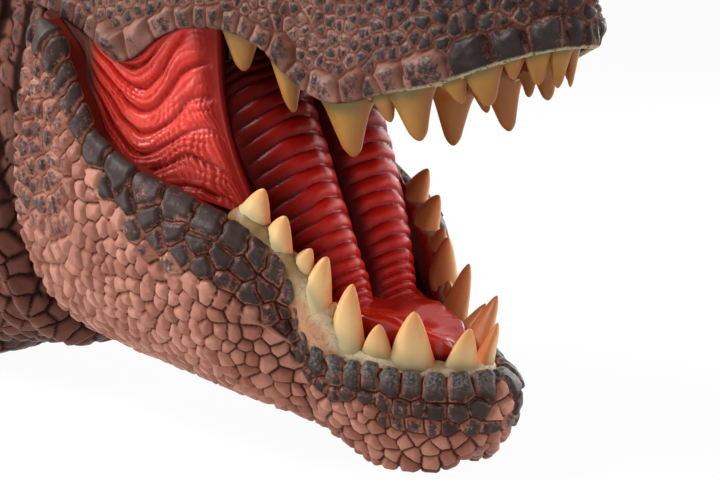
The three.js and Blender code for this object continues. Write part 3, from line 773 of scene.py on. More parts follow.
def even_columns(point, count):
    """Places along a jaw, from -1 to 1, closer together where the skin fans out."""
    s = np.linspace(-1, 1, FAN_COLUMNS + 1)
    fan = point(*grid(s, np.linspace(0, FAN_REACH, FAN_ROWS)))
    width = np.linalg.norm(np.diff(fan, axis=0), axis=2).max(axis=1)
    run = np.concatenate([[0], np.cumsum(width)])
    return np.interp(np.linspace(0, run[-1], count + 1), run, s)


def dense_skin(point, columns, crowding):
    """Places along a jaw, and closely set points from its edge to the middle plane, closest at both ends."""
    s = even_columns(point, columns)
    low, high = crowding
    share = 1 - (1 - np.linspace(0, 1, DENSE_ROWS) ** low) ** high
    return s, point(*grid(s, share))


def roll(line, s, wall, way):
    """Points round a skin's edge, from its inner to its outer side. way is -1 for an edge facing down."""
    angle = np.linspace(math.pi, 0, ROLL_POINTS)[None, :-1]
    out = wall / 2 * (np.cos(angle) - 1)
    wide = np.repeat(s[:, None], ROLL_POINTS - 1, 1)
    points = line.at(wide) + line.outward(wide) * out[..., None]
    points[..., 2] += way * wall / 2 * np.sin(angle)
    return points


def turned_in(edge, bulge):
    """Columns of points that carry a rear edge of a skin on, back and in towards the neck."""
    _, half, low, high = HEM_STATION
    middle = np.array([0, 0, (low + high) / 2])
    out = (edge - middle) * (0, 1, 1)
    shares = np.abs(out[:, 1:] / (half, (high - low) / 2)) ** NECK_SQUARENESS
    beyond = np.maximum(shares.sum(axis=1) ** (1 / NECK_SQUARENESS), 1)[:, None]
    inwards = out / beyond - out
    depth = np.linalg.norm(inwards, axis=1, keepdims=True)
    inwards = inwards * np.maximum(1 - HEM_ROOM / np.maximum(depth, 1e-6), 0)
    back = np.array([-1.0, 0, 0]) * np.minimum(bulge, 1 + 0.5 * depth)
    angles = np.linspace(0, math.pi / 2, HEM_COLUMNS + 1)[1:]
    return np.stack([edge + back * math.sin(a) + inwards * (1 - math.cos(a)) for a in angles])


def with_hems(columns, bulge):
    return np.concatenate([turned_in(columns[0], bulge)[::-1], columns, turned_in(columns[-1], bulge)])


# Plates along the upper lip, from the middle of the snout to the corner: (width, height)
LIP_PLATES = [
    (2, 6), (5, 7), (9, 8), (8.5, 8), (11.5, 8.5), (12, 8.5), (8, 7.5), (3, 4), (7.5, 7), (9.5, 7.5),
    (5.5, 6), (9, 9), (5.5, 5), (4.3, 5), (4.7, 5), (5, 5), (3.5, 4.5), (6, 5), (8.5, 6), (10, 8.5),
    (13, 9), (5, 5), (5, 5), (6, 5), (6, 5), (6, 5),
]
# Their paint at the snout and behind it, where it changes, how much it varies, and how much less there is
# round the corner, at its place along the lip
PLATE_PAINT = (1.15, 0.75)
PLATE_PAINT_FADE = (25, 50)
PLATE_PAINT_RANGE = (0.85, 1.05)
CORNER = 136
CORNER_WIDTH = 9
CORNER_WEAR = 0.45
# As shares of a plate's height or width
PLATE_SEED_HEIGHT = 0.36
PLATE_REACH = 0.26
PLATE_STRETCH = 0.08
PLATE_SIZE = 0.95
# Large scales over the top of the head: widths from the middle of the snout backwards, and the shares of the
# way up the head between which their rows lie
BOSS_WIDTHS = (7, 9, 8.5, 11.5, 12, 8, 10.5, 9.5, 5.5, 9, 9.8, 9.7, 9.5, 8.5, 10, 13, 10, 12, 6)
BOSS_EDGES = (0.37, 0.5, 0.65, 0.8, 0.93, 1)
BOSS_SHIFT = 0.2
BOSS_HALF = 0.2
BOSS_SIZE = 0.9
BOSS_LEAST = 3
BOSS_PAINT = (0.7, 0.9)


def lip_plates(scales, s, points, height):
    """The row of large plates along the upper lip."""
    reach = 0.0
    for width, tall in LIP_PLATES:
        place = reach + width / 2
        reach += width
        dark = scales.random.uniform(*PLATE_PAINT_RANGE) * mix(*PLATE_PAINT, ease(place, *PLATE_PAINT_FADE))
        dark = dark * (1 - CORNER_WEAR * bump(place, CORNER, CORNER_WIDTH))
        spread = 0.5 * max(width - tall, 0) + PLATE_STRETCH * width
        for side in (-1, 1):
            seeds = []
            for shift in (-spread, spread):
                c = nearest(s * lip.length, side * (place + shift))
                seeds.append(points[c, nearest(height[c], PLATE_SEED_HEIGHT * tall)])
            scales.add(seeds, PLATE_REACH * tall, PLATE_SIZE * min(width, tall), dark, 1)


def top_bosses(scales):
    """Rows of large scales over the top of the head."""
    span, start = sum(BOSS_WIDTHS), 0.0
    for width in BOSS_WIDTHS:
        for row, (low, high) in enumerate(zip(BOSS_EDGES, BOSS_EDGES[1:])):
            middle = start + (0.5 - BOSS_SHIFT * (row % 2)) * width
            reach = BOSS_HALF * width
            places = np.array([middle - reach, middle + reach, middle, middle]) / span
            half = (low + high) / 2
            front, rear, under, over = head_point(places, np.array([half, half, low, high]))
            long = np.linalg.norm(rear - front) / (2 * BOSS_HALF)
            size = BOSS_SIZE * min(long, np.linalg.norm(over - under))
            if size > BOSS_LEAST:
                dark = scales.random.uniform(*BOSS_PAINT)
                for side in (-1, 1):
                    scales.add([front * (1, side, 1), rear * (1, side, 1)], 0, size, dark)
        start += width


# Hollows of eye and nostril: how distance is stretched along x, y and z, folds round them as (height,
# distance, width), depth, and the distances between which they end
EYE_HOLLOW = ((1, 0.5, 1.25), ((2.2, 8.6, 1.5), (1.0, 11.8, 1.2)), 3.0, (6.2, 7.2))
NOSTRIL_HOLLOW = ((0.62, 0.8, 1.15), ((1.3, 4.2, 1.3),), 4.5, (1.2, 3.2))
NOSTRIL = (104, 9, 121.5)


def middle_of(node):
    low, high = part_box(node)
    return (np.array(low) + np.array(high)) / 2 / MM


def hollow(points, middle, stretch, folds, depth, end):
    """Lift of a hollow with folds round it."""
    far = np.linalg.norm((points - middle) * stretch, axis=-1)
    return sum(height * bump(far, place, width) for height, place, width in folds) - depth * fade(far, *end)


def eye_and_nostril(points):
    """Lids round a sunken eye, and a nostril, on each side."""
    lift = 0
    for side, word in SIDES.items():
        lift = lift + hollow(points, middle_of("eye_" + word), *EYE_HOLLOW)
        lift = lift + hollow(points, np.array(NOSTRIL) * (1, side, 1), *NOSTRIL_HOLLOW)
    return lift


HEAD_COLUMNS = 528
HEAD_ROWS = 144
HEAD_CROWDING = (0.8, 1.7)
HEAD_MIDDLE = (40, 0, 110)
HEAD_SEED = 3
HEAD_TINT_SEED = 7
# Row of points where the inner side of the head's skin starts
HEAD_INNER_FROM = 8
HEAD_GROOVE_DEPTH = 0.6
# Gap between small scales, and by how much and where it grows: on the snout, the rear and the crown
HEAD_GAP = 2.5
SNOUT_GAP, SNOUT_GAP_X = 0.9, (60, 100)
REAR_GAP, REAR_GAP_X = 0.5, (-20, 20)
CROWN_GAP, CROWN_GAP_Z = 1.2, (118, 140)
HEAD_UNEVEN = (0.25, 9, 5)
# Dark paint: all over, more on the snout, and less behind it
HEAD_DARK = 0.82
SNOUT_DARK, SNOUT_DARK_X = 0.13, (55, 95)
CHEEK_BARE, CHEEK_BARE_X = 0.1, (40, 18)
# Of small scales and of plates: share of the size that is domed, and height for the size
HEAD_DOME = (0.4, 0.5)
HEAD_HEIGHT = (0.24, 0.33)
HEAD_LEAST_HEIGHT = 0.25
HEAD_SUNK = 0.75
HEAD_LEAN = 0.04
HEAD_WARP = (3.5, 0.5)
HEAD_LUMPS = (0.16, 1.8, 0)
# Heights over the lip between which the relief, the paint and the pale fringe come and go, and the x between
# which the fringe starts
LIFT_FROM = (-0.5, 3.5)
SINK_FROM = (-2.5, 0)
LIP_PAINT_FROM = (-2.5, -0.3)
FRINGE_FROM = (-3.4, -2.6)
FRINGE_TO = (-1.1, -0.3)
FRINGE_X = (66, 84)


def head_skin():
    s, dense = dense_skin(head_point, HEAD_COLUMNS, HEAD_CROWDING)
    dense = with_hems(np.concatenate([roll(lip, s, SKIN_WALL, -1), dense], axis=1), HEAD_HEM_BULGE)
    s = np.pad(s, HEM_COLUMNS, mode="edge")
    points, height = resampled(dense, HEAD_ROWS, ROLL_POINTS - 1)
    normals = normals_of(points, HEAD_MIDDLE, seam=True)
    x, _, z = xyz(points)
    scales = Scales(HEAD_SEED)
    lip_plates(scales, s, points, height)
    top_bosses(scales)
    gaps = HEAD_GAP + SNOUT_GAP * ease(x, *SNOUT_GAP_X) + REAR_GAP * fade(x, *REAR_GAP_X)
    gaps = gaps + CROWN_GAP * ease(z, *CROWN_GAP_Z)
    gaps = gaps * (1 + lumps(points, HEAD_UNEVEN))
    paint = HEAD_DARK + SNOUT_DARK * ease(x, *SNOUT_DARK_X) - CHEEK_BARE * bump(x, *CHEEK_BARE_X)
    free = height > SCATTER_FROM
    scales.scatter(points[free], gaps[free], paint[free], SCATTER_TRIES)
    scales.draw(warped(points, *HEAD_WARP))
    size, plate = scales.each(scales.size), scales.each(scales.plate)
    top = pillow(scales.inside, mix(*HEAD_DOME, plate) * size)
    lift = (mix(*HEAD_HEIGHT, plate) * size + HEAD_LEAST_HEIGHT) * top - HEAD_SUNK
    lift += HEAD_LEAN * scales.leaning(points) * top * (1 - plate) + lumps(points, HEAD_LUMPS)
    lift = np.where(lift > 0, lift * ease(height, *LIFT_FROM), lift * ease(height, *SINK_FROM))
    skin = raised(points, normals, lift + eye_and_nostril(points))
    # Under the lip's edge the skin is bare and takes the strip colour, painted shade
    face = ease(height, *LIP_PAINT_FROM)
    fringe = ease(height, *FRINGE_FROM) * fade(height, *FRINGE_TO) * ease(x, *FRINGE_X)
    fields = {"edge": top * face, "tint": scales.chance(HEAD_TINT_SEED),
              "paint": scales.each(scales.paint) * face, "bare": 1 - face, "fringe": fringe}
    wall = SKIN_WALL - HEAD_GROOVE_DEPTH
    return shell("upper_skin", skin, normals, wall, fields, head_paint, HEAD_INNER_FROM)


JAW_COLUMNS = 548
JAW_ROWS = 156
JAW_CROWDING = (0.9, 1.6)
JAW_MIDDLE = (10, 0, 70)
JAW_SEED = 11
JAW_TINT_SEED = 9
JAW_GROOVE_DEPTH = 0.8
# Strip inside the rim: how far in it reaches and starts, its points, and its rise for each millimetre in
STRIP = 5.5
STRIP_START = 0.6
STRIP_POINTS = 7
STRIP_RISE = 0.1
# Rounding off the rim: rounds, and the depths where it begins and ends
RIM_ROUNDS = 14
RIM_ROUND_FROM = (2 - STRIP, 4 - STRIP)
RIM_ROUND_TO = (7, 12)
# Along the rim: (distance, width of a block) and (distance, how far down the dark paint goes)
RIM_BLOCKS = [
    (0, 5.4), (30, 5), (45, 5), (60, 6.5), (75, 8), (90, 9.5), (112, 10), (125, 7.5), (140, 6), (165, 5.5),
]
DARK_BAND = [
    (0, 17), (22, 16.5), (34, 13), (40, 11), (48, 12), (57, 13), (65, 16), (75, 19), (84, 19), (92, 18),
    (98, 20), (104, 22), (110, 19), (120, 12), (128, 8), (165, 6.8),
]
# Rows of blocks under the rim: (depths of a block's seeds, its width as a share of the rim's, paint)
BLOCK_ROWS = [((-1.0, 3.4), 1.0, 0.97), ((8.2,), 0.85, 1.06), ((13.4,), 0.78, 0.9), ((18.0,), 0.65, 0.7)]
BLOCK_VARIES = (0.85, 1.15)
BLOCK_PAINT_VARIES = (0.85, 1.05)
BLOCK_JITTER = (-0.7, 0.7)
BLOCK_SIZE = 0.9
TOP_BLOCK_REACH = 0.25
# Room that a row of blocks leaves over the end of the dark paint
BLOCK_CLEAR = 1.5
# Gap between scales, and what the rear adds
JAW_GAP = 3.6
RAMUS_GAP = 0.7
JAW_UNEVEN = (0.35, 8, 2)
RAMUS_X = (-25, 0)
# Dark paint on the rear, between these heights, and on scales within the band
RAMUS_DARK, RAMUS_DARK_Z = 0.72, (30, 60)
BAND_DARK, BAND_DARK_END = 0.3, (-3, 1)
# Scales wider than this are no higher
FLAT_FROM = 4.6
# Domed share of the size: behind and in front of the x range, and on the blocks, which end in so much room
JAW_DOME = (0.34, 0.5)
JAW_DOME_X = (25, 60)
BLOCK_DOME = 0.28
BLOCK_DOME_END = 4
JAW_HEIGHT = 0.32
JAW_LEAST_HEIGHT = 0.45
JAW_SUNK = 1.3
JAW_LEAN = 0.06
JAW_WARP = (4, 0.55)
JAW_LUMPS = (0.14, 2.0, 0)
# Knob at the rear end of the rim
KNOB_PLACE = 156
KNOB_HEIGHT = 2.2
KNOB_WIDTH = 8
KNOB_DEPTH = (3, 12)
# Welt under the dark band: its depth below it, width, height, and where along the rim it begins and ends
WELT = (0.8, 0.5)
WELT_HEIGHT = 0.35
WELT_FROM = (58, 70)
WELT_TO = (125, 140)
# Grey dust and painted sheen on the upper edge of the front of the rim: depth and distance along the rim
# where it ends
DUST_AND_SHEEN_DEPTH = (1, 5)
DUST_AND_SHEEN_PLACE = (50, 70)
# Depths over the rim where the paint begins, and how light the grooves of the rear are
RIM_PAINT_FROM = (-SKIN_WALL - 1.8, -SKIN_WALL - 0.2)
RAMUS_GROOVE = 0.12
# The lowest scales stop just short of the table
TABLE_CLEAR = 0.02


def smoothed_rim(points, depth):
    """Rounds off the profile of the jaw's rim."""
    loose = (0.5 * ease(depth, *RIM_ROUND_FROM) * fade(depth, *RIM_ROUND_TO))[:, 1:-1, None]
    for _ in range(RIM_ROUNDS):
        middle = (points[:, :-2] + points[:, 2:]) / 2
        points[:, 1:-1] += (middle - points[:, 1:-1]) * loose
    return points


def rim_blocks(scales, s, points, depth):
    """Rows of dark blocks along the rim of the lower jaw."""
    for side in (-1, 1):
        for number, (depths, share, dark) in enumerate(BLOCK_ROWS):
            place = 0.5 * share * RIM_BLOCKS[0][1] * (1 if number % 2 == 0 else 2)
            while place < rim.length:
                width = float(at_key(RIM_BLOCKS, place)) * share * scales.random.uniform(*BLOCK_VARIES)
                if depths[0] < at_key(DARK_BAND, place) - BLOCK_CLEAR:
                    c = nearest(s * rim.length, side * place)
                    jitter = 0.0 if number == 0 else scales.random.uniform(*BLOCK_JITTER)
                    seeds = [points[c, nearest(depth[c], d + jitter)] for d in depths]
                    reach = TOP_BLOCK_REACH * (number == 0)
                    paint = dark * scales.random.uniform(*BLOCK_PAINT_VARIES)
                    scales.add(seeds, reach, BLOCK_SIZE * width, paint)
                place += width


def jaw_skin():
    s, dense = dense_skin(jaw_point, JAW_COLUMNS, JAW_CROWDING)
    edge_line = roll(rim, s, SKIN_WALL, 1) + (rim.outward(s) * SKIN_WALL)[:, None]
    inward = np.linspace(STRIP, STRIP_START, STRIP_POINTS)
    strip = np.stack([rim.shifted(s, -d, STRIP_RISE * d) for d in inward], axis=1)
    dense = with_hems(np.concatenate([strip, edge_line, dense], axis=1), JAW_HEM_BULGE)
    s = np.pad(s, HEM_COLUMNS, mode="edge")
    points, depth = resampled(dense, JAW_ROWS, STRIP_POINTS + ROLL_POINTS - 1)
    points = smoothed_rim(points, depth)
    normals = normals_of(points, JAW_MIDDLE, seam=True)
    x, _, z = xyz(points)
    scales = Scales(JAW_SEED)
    rim_blocks(scales, s, points, depth)
    place = np.repeat(np.abs(s)[:, None] * rim.length, JAW_ROWS + 1, 1)
    band = at_key(DARK_BAND, place)
    rear = fade(x, *RAMUS_X)
    gaps = (JAW_GAP + RAMUS_GAP * rear) * (1 + lumps(points, JAW_UNEVEN))
    paint = RAMUS_DARK * rear * ease(z, *RAMUS_DARK_Z) + BAND_DARK * ease(band - depth, *BAND_DARK_END)
    free = depth > SCATTER_FROM
    scales.scatter(points[free], gaps[free], paint[free], SCATTER_TRIES)
    scales.draw(warped(points, *JAW_WARP))
    size = np.minimum(scales.each(scales.size), FLAT_FROM)
    blocky = np.maximum(fade(depth, band - BLOCK_DOME_END, band), rear)
    dome = mix(mix(*JAW_DOME, ease(x, *JAW_DOME_X)), BLOCK_DOME, blocky)
    top = pillow(scales.inside, dome * size)
    lift = (JAW_HEIGHT * size + JAW_LEAST_HEIGHT) * top - JAW_SUNK
    lift += JAW_LEAN * scales.leaning(points) * top + lumps(points, JAW_LUMPS)
    lift += KNOB_HEIGHT * bump(place, KNOB_PLACE, KNOB_WIDTH) * fade(depth, *KNOB_DEPTH)
    welt = bump(depth - band, *WELT) * ease(place, *WELT_FROM) * fade(place, *WELT_TO)
    lift = mix(lift, WELT_HEIGHT, welt)
    face = ease(depth, *RIM_PAINT_FROM)
    skin = raised(points, normals, lift * face)
    skin[..., 2] = np.maximum(skin[..., 2], TABLE_CLEAR)
    fields = {"edge": np.maximum(np.maximum(top, welt), RAMUS_GROOVE * rear) * face,
              "tint": scales.chance(JAW_TINT_SEED), "paint": scales.each(scales.paint) * face * (1 - welt),
              "dust_and_sheen": fade(depth, *DUST_AND_SHEEN_DEPTH) * fade(place, *DUST_AND_SHEEN_PLACE) * face, "bare": 1 - face}
    return shell("lower_skin", skin, normals, SKIN_WALL - JAW_GROOVE_DEPTH, fields, jaw_paint)


# Neck

NECK_COLUMNS = 132
NECK_ROWS = 360
NECK_MIDDLE = (-75, 0, 75)
NECK_SEED = 23
NECK_TINT_SEED = 3
NECK_TRIES = 40000
NECK_GROOVE_DEPTH = 0.8
# The neck's skin stops this far before the last station
COLLAR_CLEAR = 4
# Rings of folds: number, height, shares of the length where they come and go, how far they wander in waves
# of (height, number round the neck, turn), and the height over the table where they are full
NECK_FOLDS = 9
FOLD_HEIGHT = 2.4
FOLD_FADE = (0.03, 0.12, 0.6, 0.7)
FOLD_WANDER = 3
FOLD_WAVES = ((0.6, 2, 0.7), (0.4, 3, 2))
FOLD_CLEAR = 6
# Close creases behind the jaw: where they are, their spacing, shape, height, middle, and how they wander
CREASED_X = (-64, -54)
CREASED_Z = (30, 75)
CREASE_STEP = 7.5
CREASE_SHAPE = 0.7
CREASE_HEIGHT = 0.9
CREASE_MIDDLE = 0.8
CREASE_WANDER = ((3.2, 26, 4), (1.0, 9, 5))
CREASE_SHADE = 1.8
NECK_GAP = 5.2
NECK_UNEVEN = (0.25, 16, 6)
NECK_DARK = 0.36
NAPE_DARK, NAPE_DARK_Z = 0.4, (60, 110)
NECK_DOME = 0.3
NECK_HEIGHT = 0.2
NECK_LEAST_HEIGHT = 0.3
NECK_SUNK = 0.9
NECK_LEAN = 0.05
# Share of the scales' relief on the rings and in the creases
NECK_RELIEF = (0.75, 0.4)
NECK_WARP = (4, 0.6)
NECK_LUMPS = (0.2, 2.5, 0)
# Smooth hem of the wrist opening: where it ends, and how bare it is
HEM_X = (-119, -114)
HEM_BARE = 0.7
# Shade between the rings: share of light left there, and where it begins
RING_SHADE = 0.35
RING_SHADE_X = (-112, -100)


def neck_grid():
    """Points of the neck, and how high its folds stand there."""
    reach = NECK_STATIONS[-1][0] - NECK_STATIONS[0][0]
    along = np.linspace(0, 1 - COLLAR_CLEAR / reach, NECK_COLUMNS + 1)[:, None]
    turn = np.linspace(0, 2 * math.pi, NECK_ROWS + 1)[None]
    start, full, fading, end = FOLD_FADE
    folds = ease(along, start, full) * (1 - ease(along, fading, end))
    wave = sum(height * np.sin(number * turn + shift) for height, number, shift in FOLD_WAVES)
    x = NECK_STATIONS[0][0] + reach * along + FOLD_WANDER * folds * wave
    half, low, high = xyz(through(NECK_STATIONS, x))
    across, upright = rounded_square(turn, NECK_SQUARENESS)
    points = np.stack([x, half * across, np.maximum(mix(low, high, (1 + upright) / 2), 0)], -1)
    clear = np.minimum(points[..., 2] / FOLD_CLEAR, 1)
    return points, folds * clear * (0.5 - 0.5 * np.cos(2 * math.pi * NECK_FOLDS * along))


def neck_skin():
    points, ring = neck_grid()
    normals = normals_of(points, NECK_MIDDLE)
    normals[:, [0, -1]] = unit(normals[:, [0, -1]].mean(axis=1, keepdims=True))
    x, _, z = xyz(points)
    creased = ease(x, *CREASED_X) * ease(z, *CREASED_Z)
    wander = lumps(points, *CREASE_WANDER)
    crease = (0.5 + 0.5 * np.cos((x + wander) * 2 * math.pi / CREASE_STEP)) ** CREASE_SHAPE
    scales = Scales(NECK_SEED)
    flat = points[:, :-1].reshape(-1, 3)
    gaps = NECK_GAP * (1 + lumps(flat, NECK_UNEVEN))
    paint = NECK_DARK + NAPE_DARK * ease(flat[:, 2], *NAPE_DARK_Z)
    scales.scatter(flat, gaps, paint, NECK_TRIES)
    scales.draw(warped(points, *NECK_WARP))
    size = scales.each(scales.size)
    top = pillow(scales.inside, NECK_DOME * size)
    lift = (NECK_HEIGHT * size + NECK_LEAST_HEIGHT) * top - NECK_SUNK
    lift += NECK_LEAN * scales.leaning(points) * top
    lift *= mix(*NECK_RELIEF, creased)
    creases = creased * CREASE_HEIGHT * (crease - CREASE_MIDDLE)
    lift += FOLD_HEIGHT * ring + creases + lumps(points, NECK_LUMPS)
    hem = ease(x, *HEM_X)
    skin = raised(points, normals, lift * hem)
    skin[..., 2] = np.maximum(skin[..., 2], 0)
    # Painted shade between the rings and in the creases: it lowers edge, which takes the groove colour
    ring_shade = mix(1, RING_SHADE + (1 - RING_SHADE) * ring, ease(x, *RING_SHADE_X))
    groove = mix(ring_shade, crease ** CREASE_SHADE, creased)
    fields = {"edge": top * groove * hem, "tint": scales.chance(NECK_TINT_SEED),
              "paint": scales.each(scales.paint) * hem, "bare": HEM_BARE * (1 - hem)}
    return shell("neck_skin", skin, normals, NECK_WALL - NECK_GROOVE_DEPTH, fields, neck_paint)


# Lining of the lower mouth

# In the middle plane, front to throat: (x, z, half-width)
LINING_PATH = [
    (78, 25.5, 2.6), (70, 26, 6.6), (60, 28, 12), (53, 32.5, 15.5), (47.5, 42, 18.5), (40.5, 58, 23),
    (33, 75, 25.5), (26.5, 90, 26), (23.5, 98, 26),
]
LINING_KEYS = [(n / (len(LINING_PATH) - 1), *p) for n, p in enumerate(LINING_PATH)]
LINING_STEP = 0.01
FLOOR_END = 0.35
FLOOR_OVERLAP = 0.01
FLOOR_GRID = (96, 96)
FLOOR_MIDDLE = (40, 0, -30)
FLOOR_LUMPS = ((0.35, 6, 3), (0.12, 2, 4))
FLOOR_SHADE, FLOOR_PATCHES = 0.55, (0.3, 5, 7)
# Painted shade over the whole floor of the mouth
FLOOR_PAINTED_SHADE = 0.25
# Two lobes: where they rise, how far, and how their sides fall back and run on
LOBE_START = (0.25, 0.55)
LOBE_SWELL = 7
LOBE_FALL_BACK = 5
LOBE_FALL_CURVE = 4
LOBE_ROUND = 0.8
LOBE_PAST_BACK = 30
LOBE_PAST_IN = 4
LOBE_GRID = (280, 88)
LOBE_OVERLAP = 0.04
LOBE_EDGE = 1.3
LOBE_MIDDLE = (0, 30, 60)
# The first row of points starts beside the middle plane, and its edge leaves this gap between the lobes
LOBE_INNER_EDGE = 0.012
LOBES_APART = 0.01
# Ribs: number, how much wider they lie at the throat, their sag and slant across a lobe, how they wander,
# their shape, heights at the floor and the throat, and their middle
RIBS = 23
RIB_SPREAD = 0.25
RIB_SAG = 0.6
RIB_SLANT = 0.4
RIB_WANDER = ((0.2, 10, 8), (0.08, 4, 7))
RIB_SHAPE = 0.45
RIB_HEIGHT = (0.8, 1.3)
RIB_MIDDLE = 0.75
LOBE_LUMPS = (0.3, 5, 9)
# Where the ribs are, across and along a lobe, and the shade beside them
RIBBED_FROM = (0.02, 0.16)
RIBBED_TO = (0.86, 1.02)
RIBBED_ALONG = (0.38, 0.46)
PLAIN_RIB = 0.35
SIDE_SHADE, SIDE_SHADE_FROM = 0.9, (0.5, 0.95)
GROOVE_SHADE, GROOVE_SHADE_TO = 0.8, (0.03, 0.2)
SHADE_ALONG = (0.36, 0.5)
THROAT_SHADE, THROAT_SHADE_FROM = 0.95, (0.62, 0.92)


def lining_point(along, across):
    """Lining of the lower mouth: along 0 at the front to 1 at the throat, across 0 in the middle to 1 at a
    side. Past 1 the lining runs on back and a little in, behind the webs."""
    x, z, half = xyz(through(LINING_KEYS, along))
    before = through(LINING_KEYS, np.maximum(along - LINING_STEP, 0))
    after = through(LINING_KEYS, np.minimum(along + LINING_STEP, 1))
    run = unit(after[..., :2] - before[..., :2])
    risen = ease(along, *LOBE_START)
    on_lobe = np.minimum(np.abs(across), 1)
    past = np.maximum(np.abs(across) - 1, 0)
    swell = LOBE_SWELL * risen * np.sin(math.pi * on_lobe) ** LOBE_ROUND
    back = LOBE_FALL_BACK * risen * on_lobe ** LOBE_FALL_CURVE + LOBE_PAST_BACK * past
    proud = swell - back
    width = half * on_lobe - LOBE_PAST_IN * past
    return np.stack([x + proud * run[..., 1], np.sign(across) * width, z - proud * run[..., 0]], -1)


def throat_lobe(side):
    columns, rows = LOBE_GRID
    along, across = grid(spread(FLOOR_END - LOBE_OVERLAP, 1, columns), spread(0, LOBE_EDGE, rows))
    points = lining_point(along, across + LOBE_INNER_EDGE)
    normals = normals_of(points, LOBE_MIDDLE)
    centred = (across - 0.5) / 0.5
    up = (along - FLOOR_END) / (1 - FLOOR_END)
    phase = (up - RIB_SPREAD * up ** 2) / (1 - RIB_SPREAD) * RIBS
    phase = phase + RIB_SAG * centred ** 2 + RIB_SLANT * centred
    rib = np.abs(np.cos(math.pi * (phase + lumps(points, *RIB_WANDER)))) ** RIB_SHAPE
    ribbed = fade(across, *RIBBED_TO) * ease(across, *RIBBED_FROM) * ease(along, *RIBBED_ALONG)
    lift = mix(*RIB_HEIGHT, up) * (rib - RIB_MIDDLE) * ribbed + lumps(points, LOBE_LUMPS)
    skin = raised(points, normals, lift)
    skin[:, 0, 1] = LOBES_APART / 2
    valley = SIDE_SHADE * ease(across, *SIDE_SHADE_FROM)
    valley = np.maximum(valley, GROOVE_SHADE * fade(across, *GROOVE_SHADE_TO))
    deep = np.maximum(valley * ease(along, *SHADE_ALONG), THROAT_SHADE * ease(along, *THROAT_SHADE_FROM))
    fields = {"rib": mix(PLAIN_RIB, rib, ribbed), "deep": deep}
    name = "ribbed_lobe_" + SIDES[side]
    return shell(name, skin * (1, side, 1), normals * (1, side, 1), LINING_WALL, fields, lobe_red)


def mouth_floor():
    columns, rows = FLOOR_GRID
    along, across = grid(spread(0, FLOOR_END + FLOOR_OVERLAP, columns), spread(-1, 1, rows))
    points = lining_point(along, across)
    normals = normals_of(points, FLOOR_MIDDLE)
    skin = raised(points, normals, lumps(points, *FLOOR_LUMPS))
    fields = {"rib": FLOOR_SHADE + lumps(points, FLOOR_PATCHES), "deep": np.full(along.shape, FLOOR_PAINTED_SHADE)}
    return shell("floor_lining", skin, normals, LINING_WALL, fields, lobe_red)


# Tongue, rear to tip: (x, half-width, top)
TONGUE = [
    (43, 12, 46), (49, 14, 41), (55, 14.4, 38.6), (62, 13, 37.2), (70, 10, 35.4), (76, 6.6, 33.2),
    (80.5, 3, 30.5),
]
TONGUE_RINGS, TONGUE_SIDES = 72, 64
TONGUE_SQUARENESS = 5
TONGUE_LUMPS = ((0.9, 7, 2), (0.45, 2.5, 5))
# How bluntly the tip ends, how far the tongue stands off the floor, and its least thickness
TIP_BLUNT = 14
TIP_LEAST = 0.03
TONGUE_OFF_FLOOR = 0.4
TONGUE_THIN = 2
# Hollow along the top: depth and share of the half-width, and the groove in it: depth and width
TONGUE_HOLLOW = (1.5, 0.62)
TONGUE_GROOVE = (0.5, 1.4)
TONGUE_TOP = (0.5, 0.95)
TONGUE_SHADE, TONGUE_PATCHES = 0.7, (0.3, 8, 6)
# Painted shade under the tongue: its share, and where it fades out going up the sides
TONGUE_UNDER_SHADE, TONGUE_UNDER_SHADE_TO = 0.8, (-0.5, 0.3)
# Share of the lining's length that lies under the tongue, and points along it
UNDER_TONGUE = 0.6
UNDER_TONGUE_POINTS = 300


def floor_height(x):
    along = np.linspace(0, UNDER_TONGUE, UNDER_TONGUE_POINTS)
    line = lining_point(along, np.zeros_like(along))
    order = np.argsort(line[:, 0])
    return np.interp(x, line[order, 0], line[order, 2])


def tongue():
    share = 0.5 - 0.5 * np.cos(np.linspace(0, math.pi, TONGUE_RINGS))
    x = mix(TONGUE[0][0], TONGUE[-1][0], share)
    half, top = through(TONGUE, x).T[:, :, None]
    ends = np.sqrt(np.clip((1 - share) * TIP_BLUNT, TIP_LEAST, 1))[:, None]
    angle = turns(TONGUE_SIDES)[None]
    across, upright = rounded_square(angle, TONGUE_SQUARENESS)
    across = half * ends * across
    low = np.minimum(floor_height(x)[:, None] + TONGUE_OFF_FLOOR, top - TONGUE_THIN)
    z = mix(low, top, 0.5 + 0.5 * upright * ends)
    (depth, wide), (groove, narrow) = TONGUE_HOLLOW, TONGUE_GROOVE
    sunk = depth * bump(across / half, 0, wide) + groove * bump(across, 0, narrow)
    z = z - sunk * ease(upright, *TONGUE_TOP)
    points = np.stack([x[:, None] + 0 * angle, across, z], -1)
    points[..., 2] += lumps(points, *TONGUE_LUMPS)
    deep = TONGUE_UNDER_SHADE * fade(upright, *TONGUE_UNDER_SHADE_TO) + 0 * z
    fields = {"rib": TONGUE_SHADE + lumps(points, TONGUE_PATCHES), "deep": deep}
    return loft("tongue_tip", points, fields, tongue_red)


# Gums and the lining between the upper ones

UPPER_GUM_HALF = 3.4
UPPER_GUM_HEIGHT = 4
LOWER_GUM_HALF = 4.2
LOWER_GUM_HEIGHT = 4.2
SEAT_GAP = 0.3
GUM_REACH = 0.5
UPPER_GUM_END = 108.5
LOWER_GUM_END = 78
# The palate: grid, how far back it goes as a share of the lip, its edge over the lip, its arch,
# and how that sinks
PALATE_GRID = (240, 60)
PALATE_END = 0.62
PALATE_OVER_LIP = 3.0
PALATE_ARCH = 4.5
PALATE_REAR_ARCH = 0.3
PALATE_REAR_FROM = 0.22
PALATE_BELOW = (60, 0, 90)
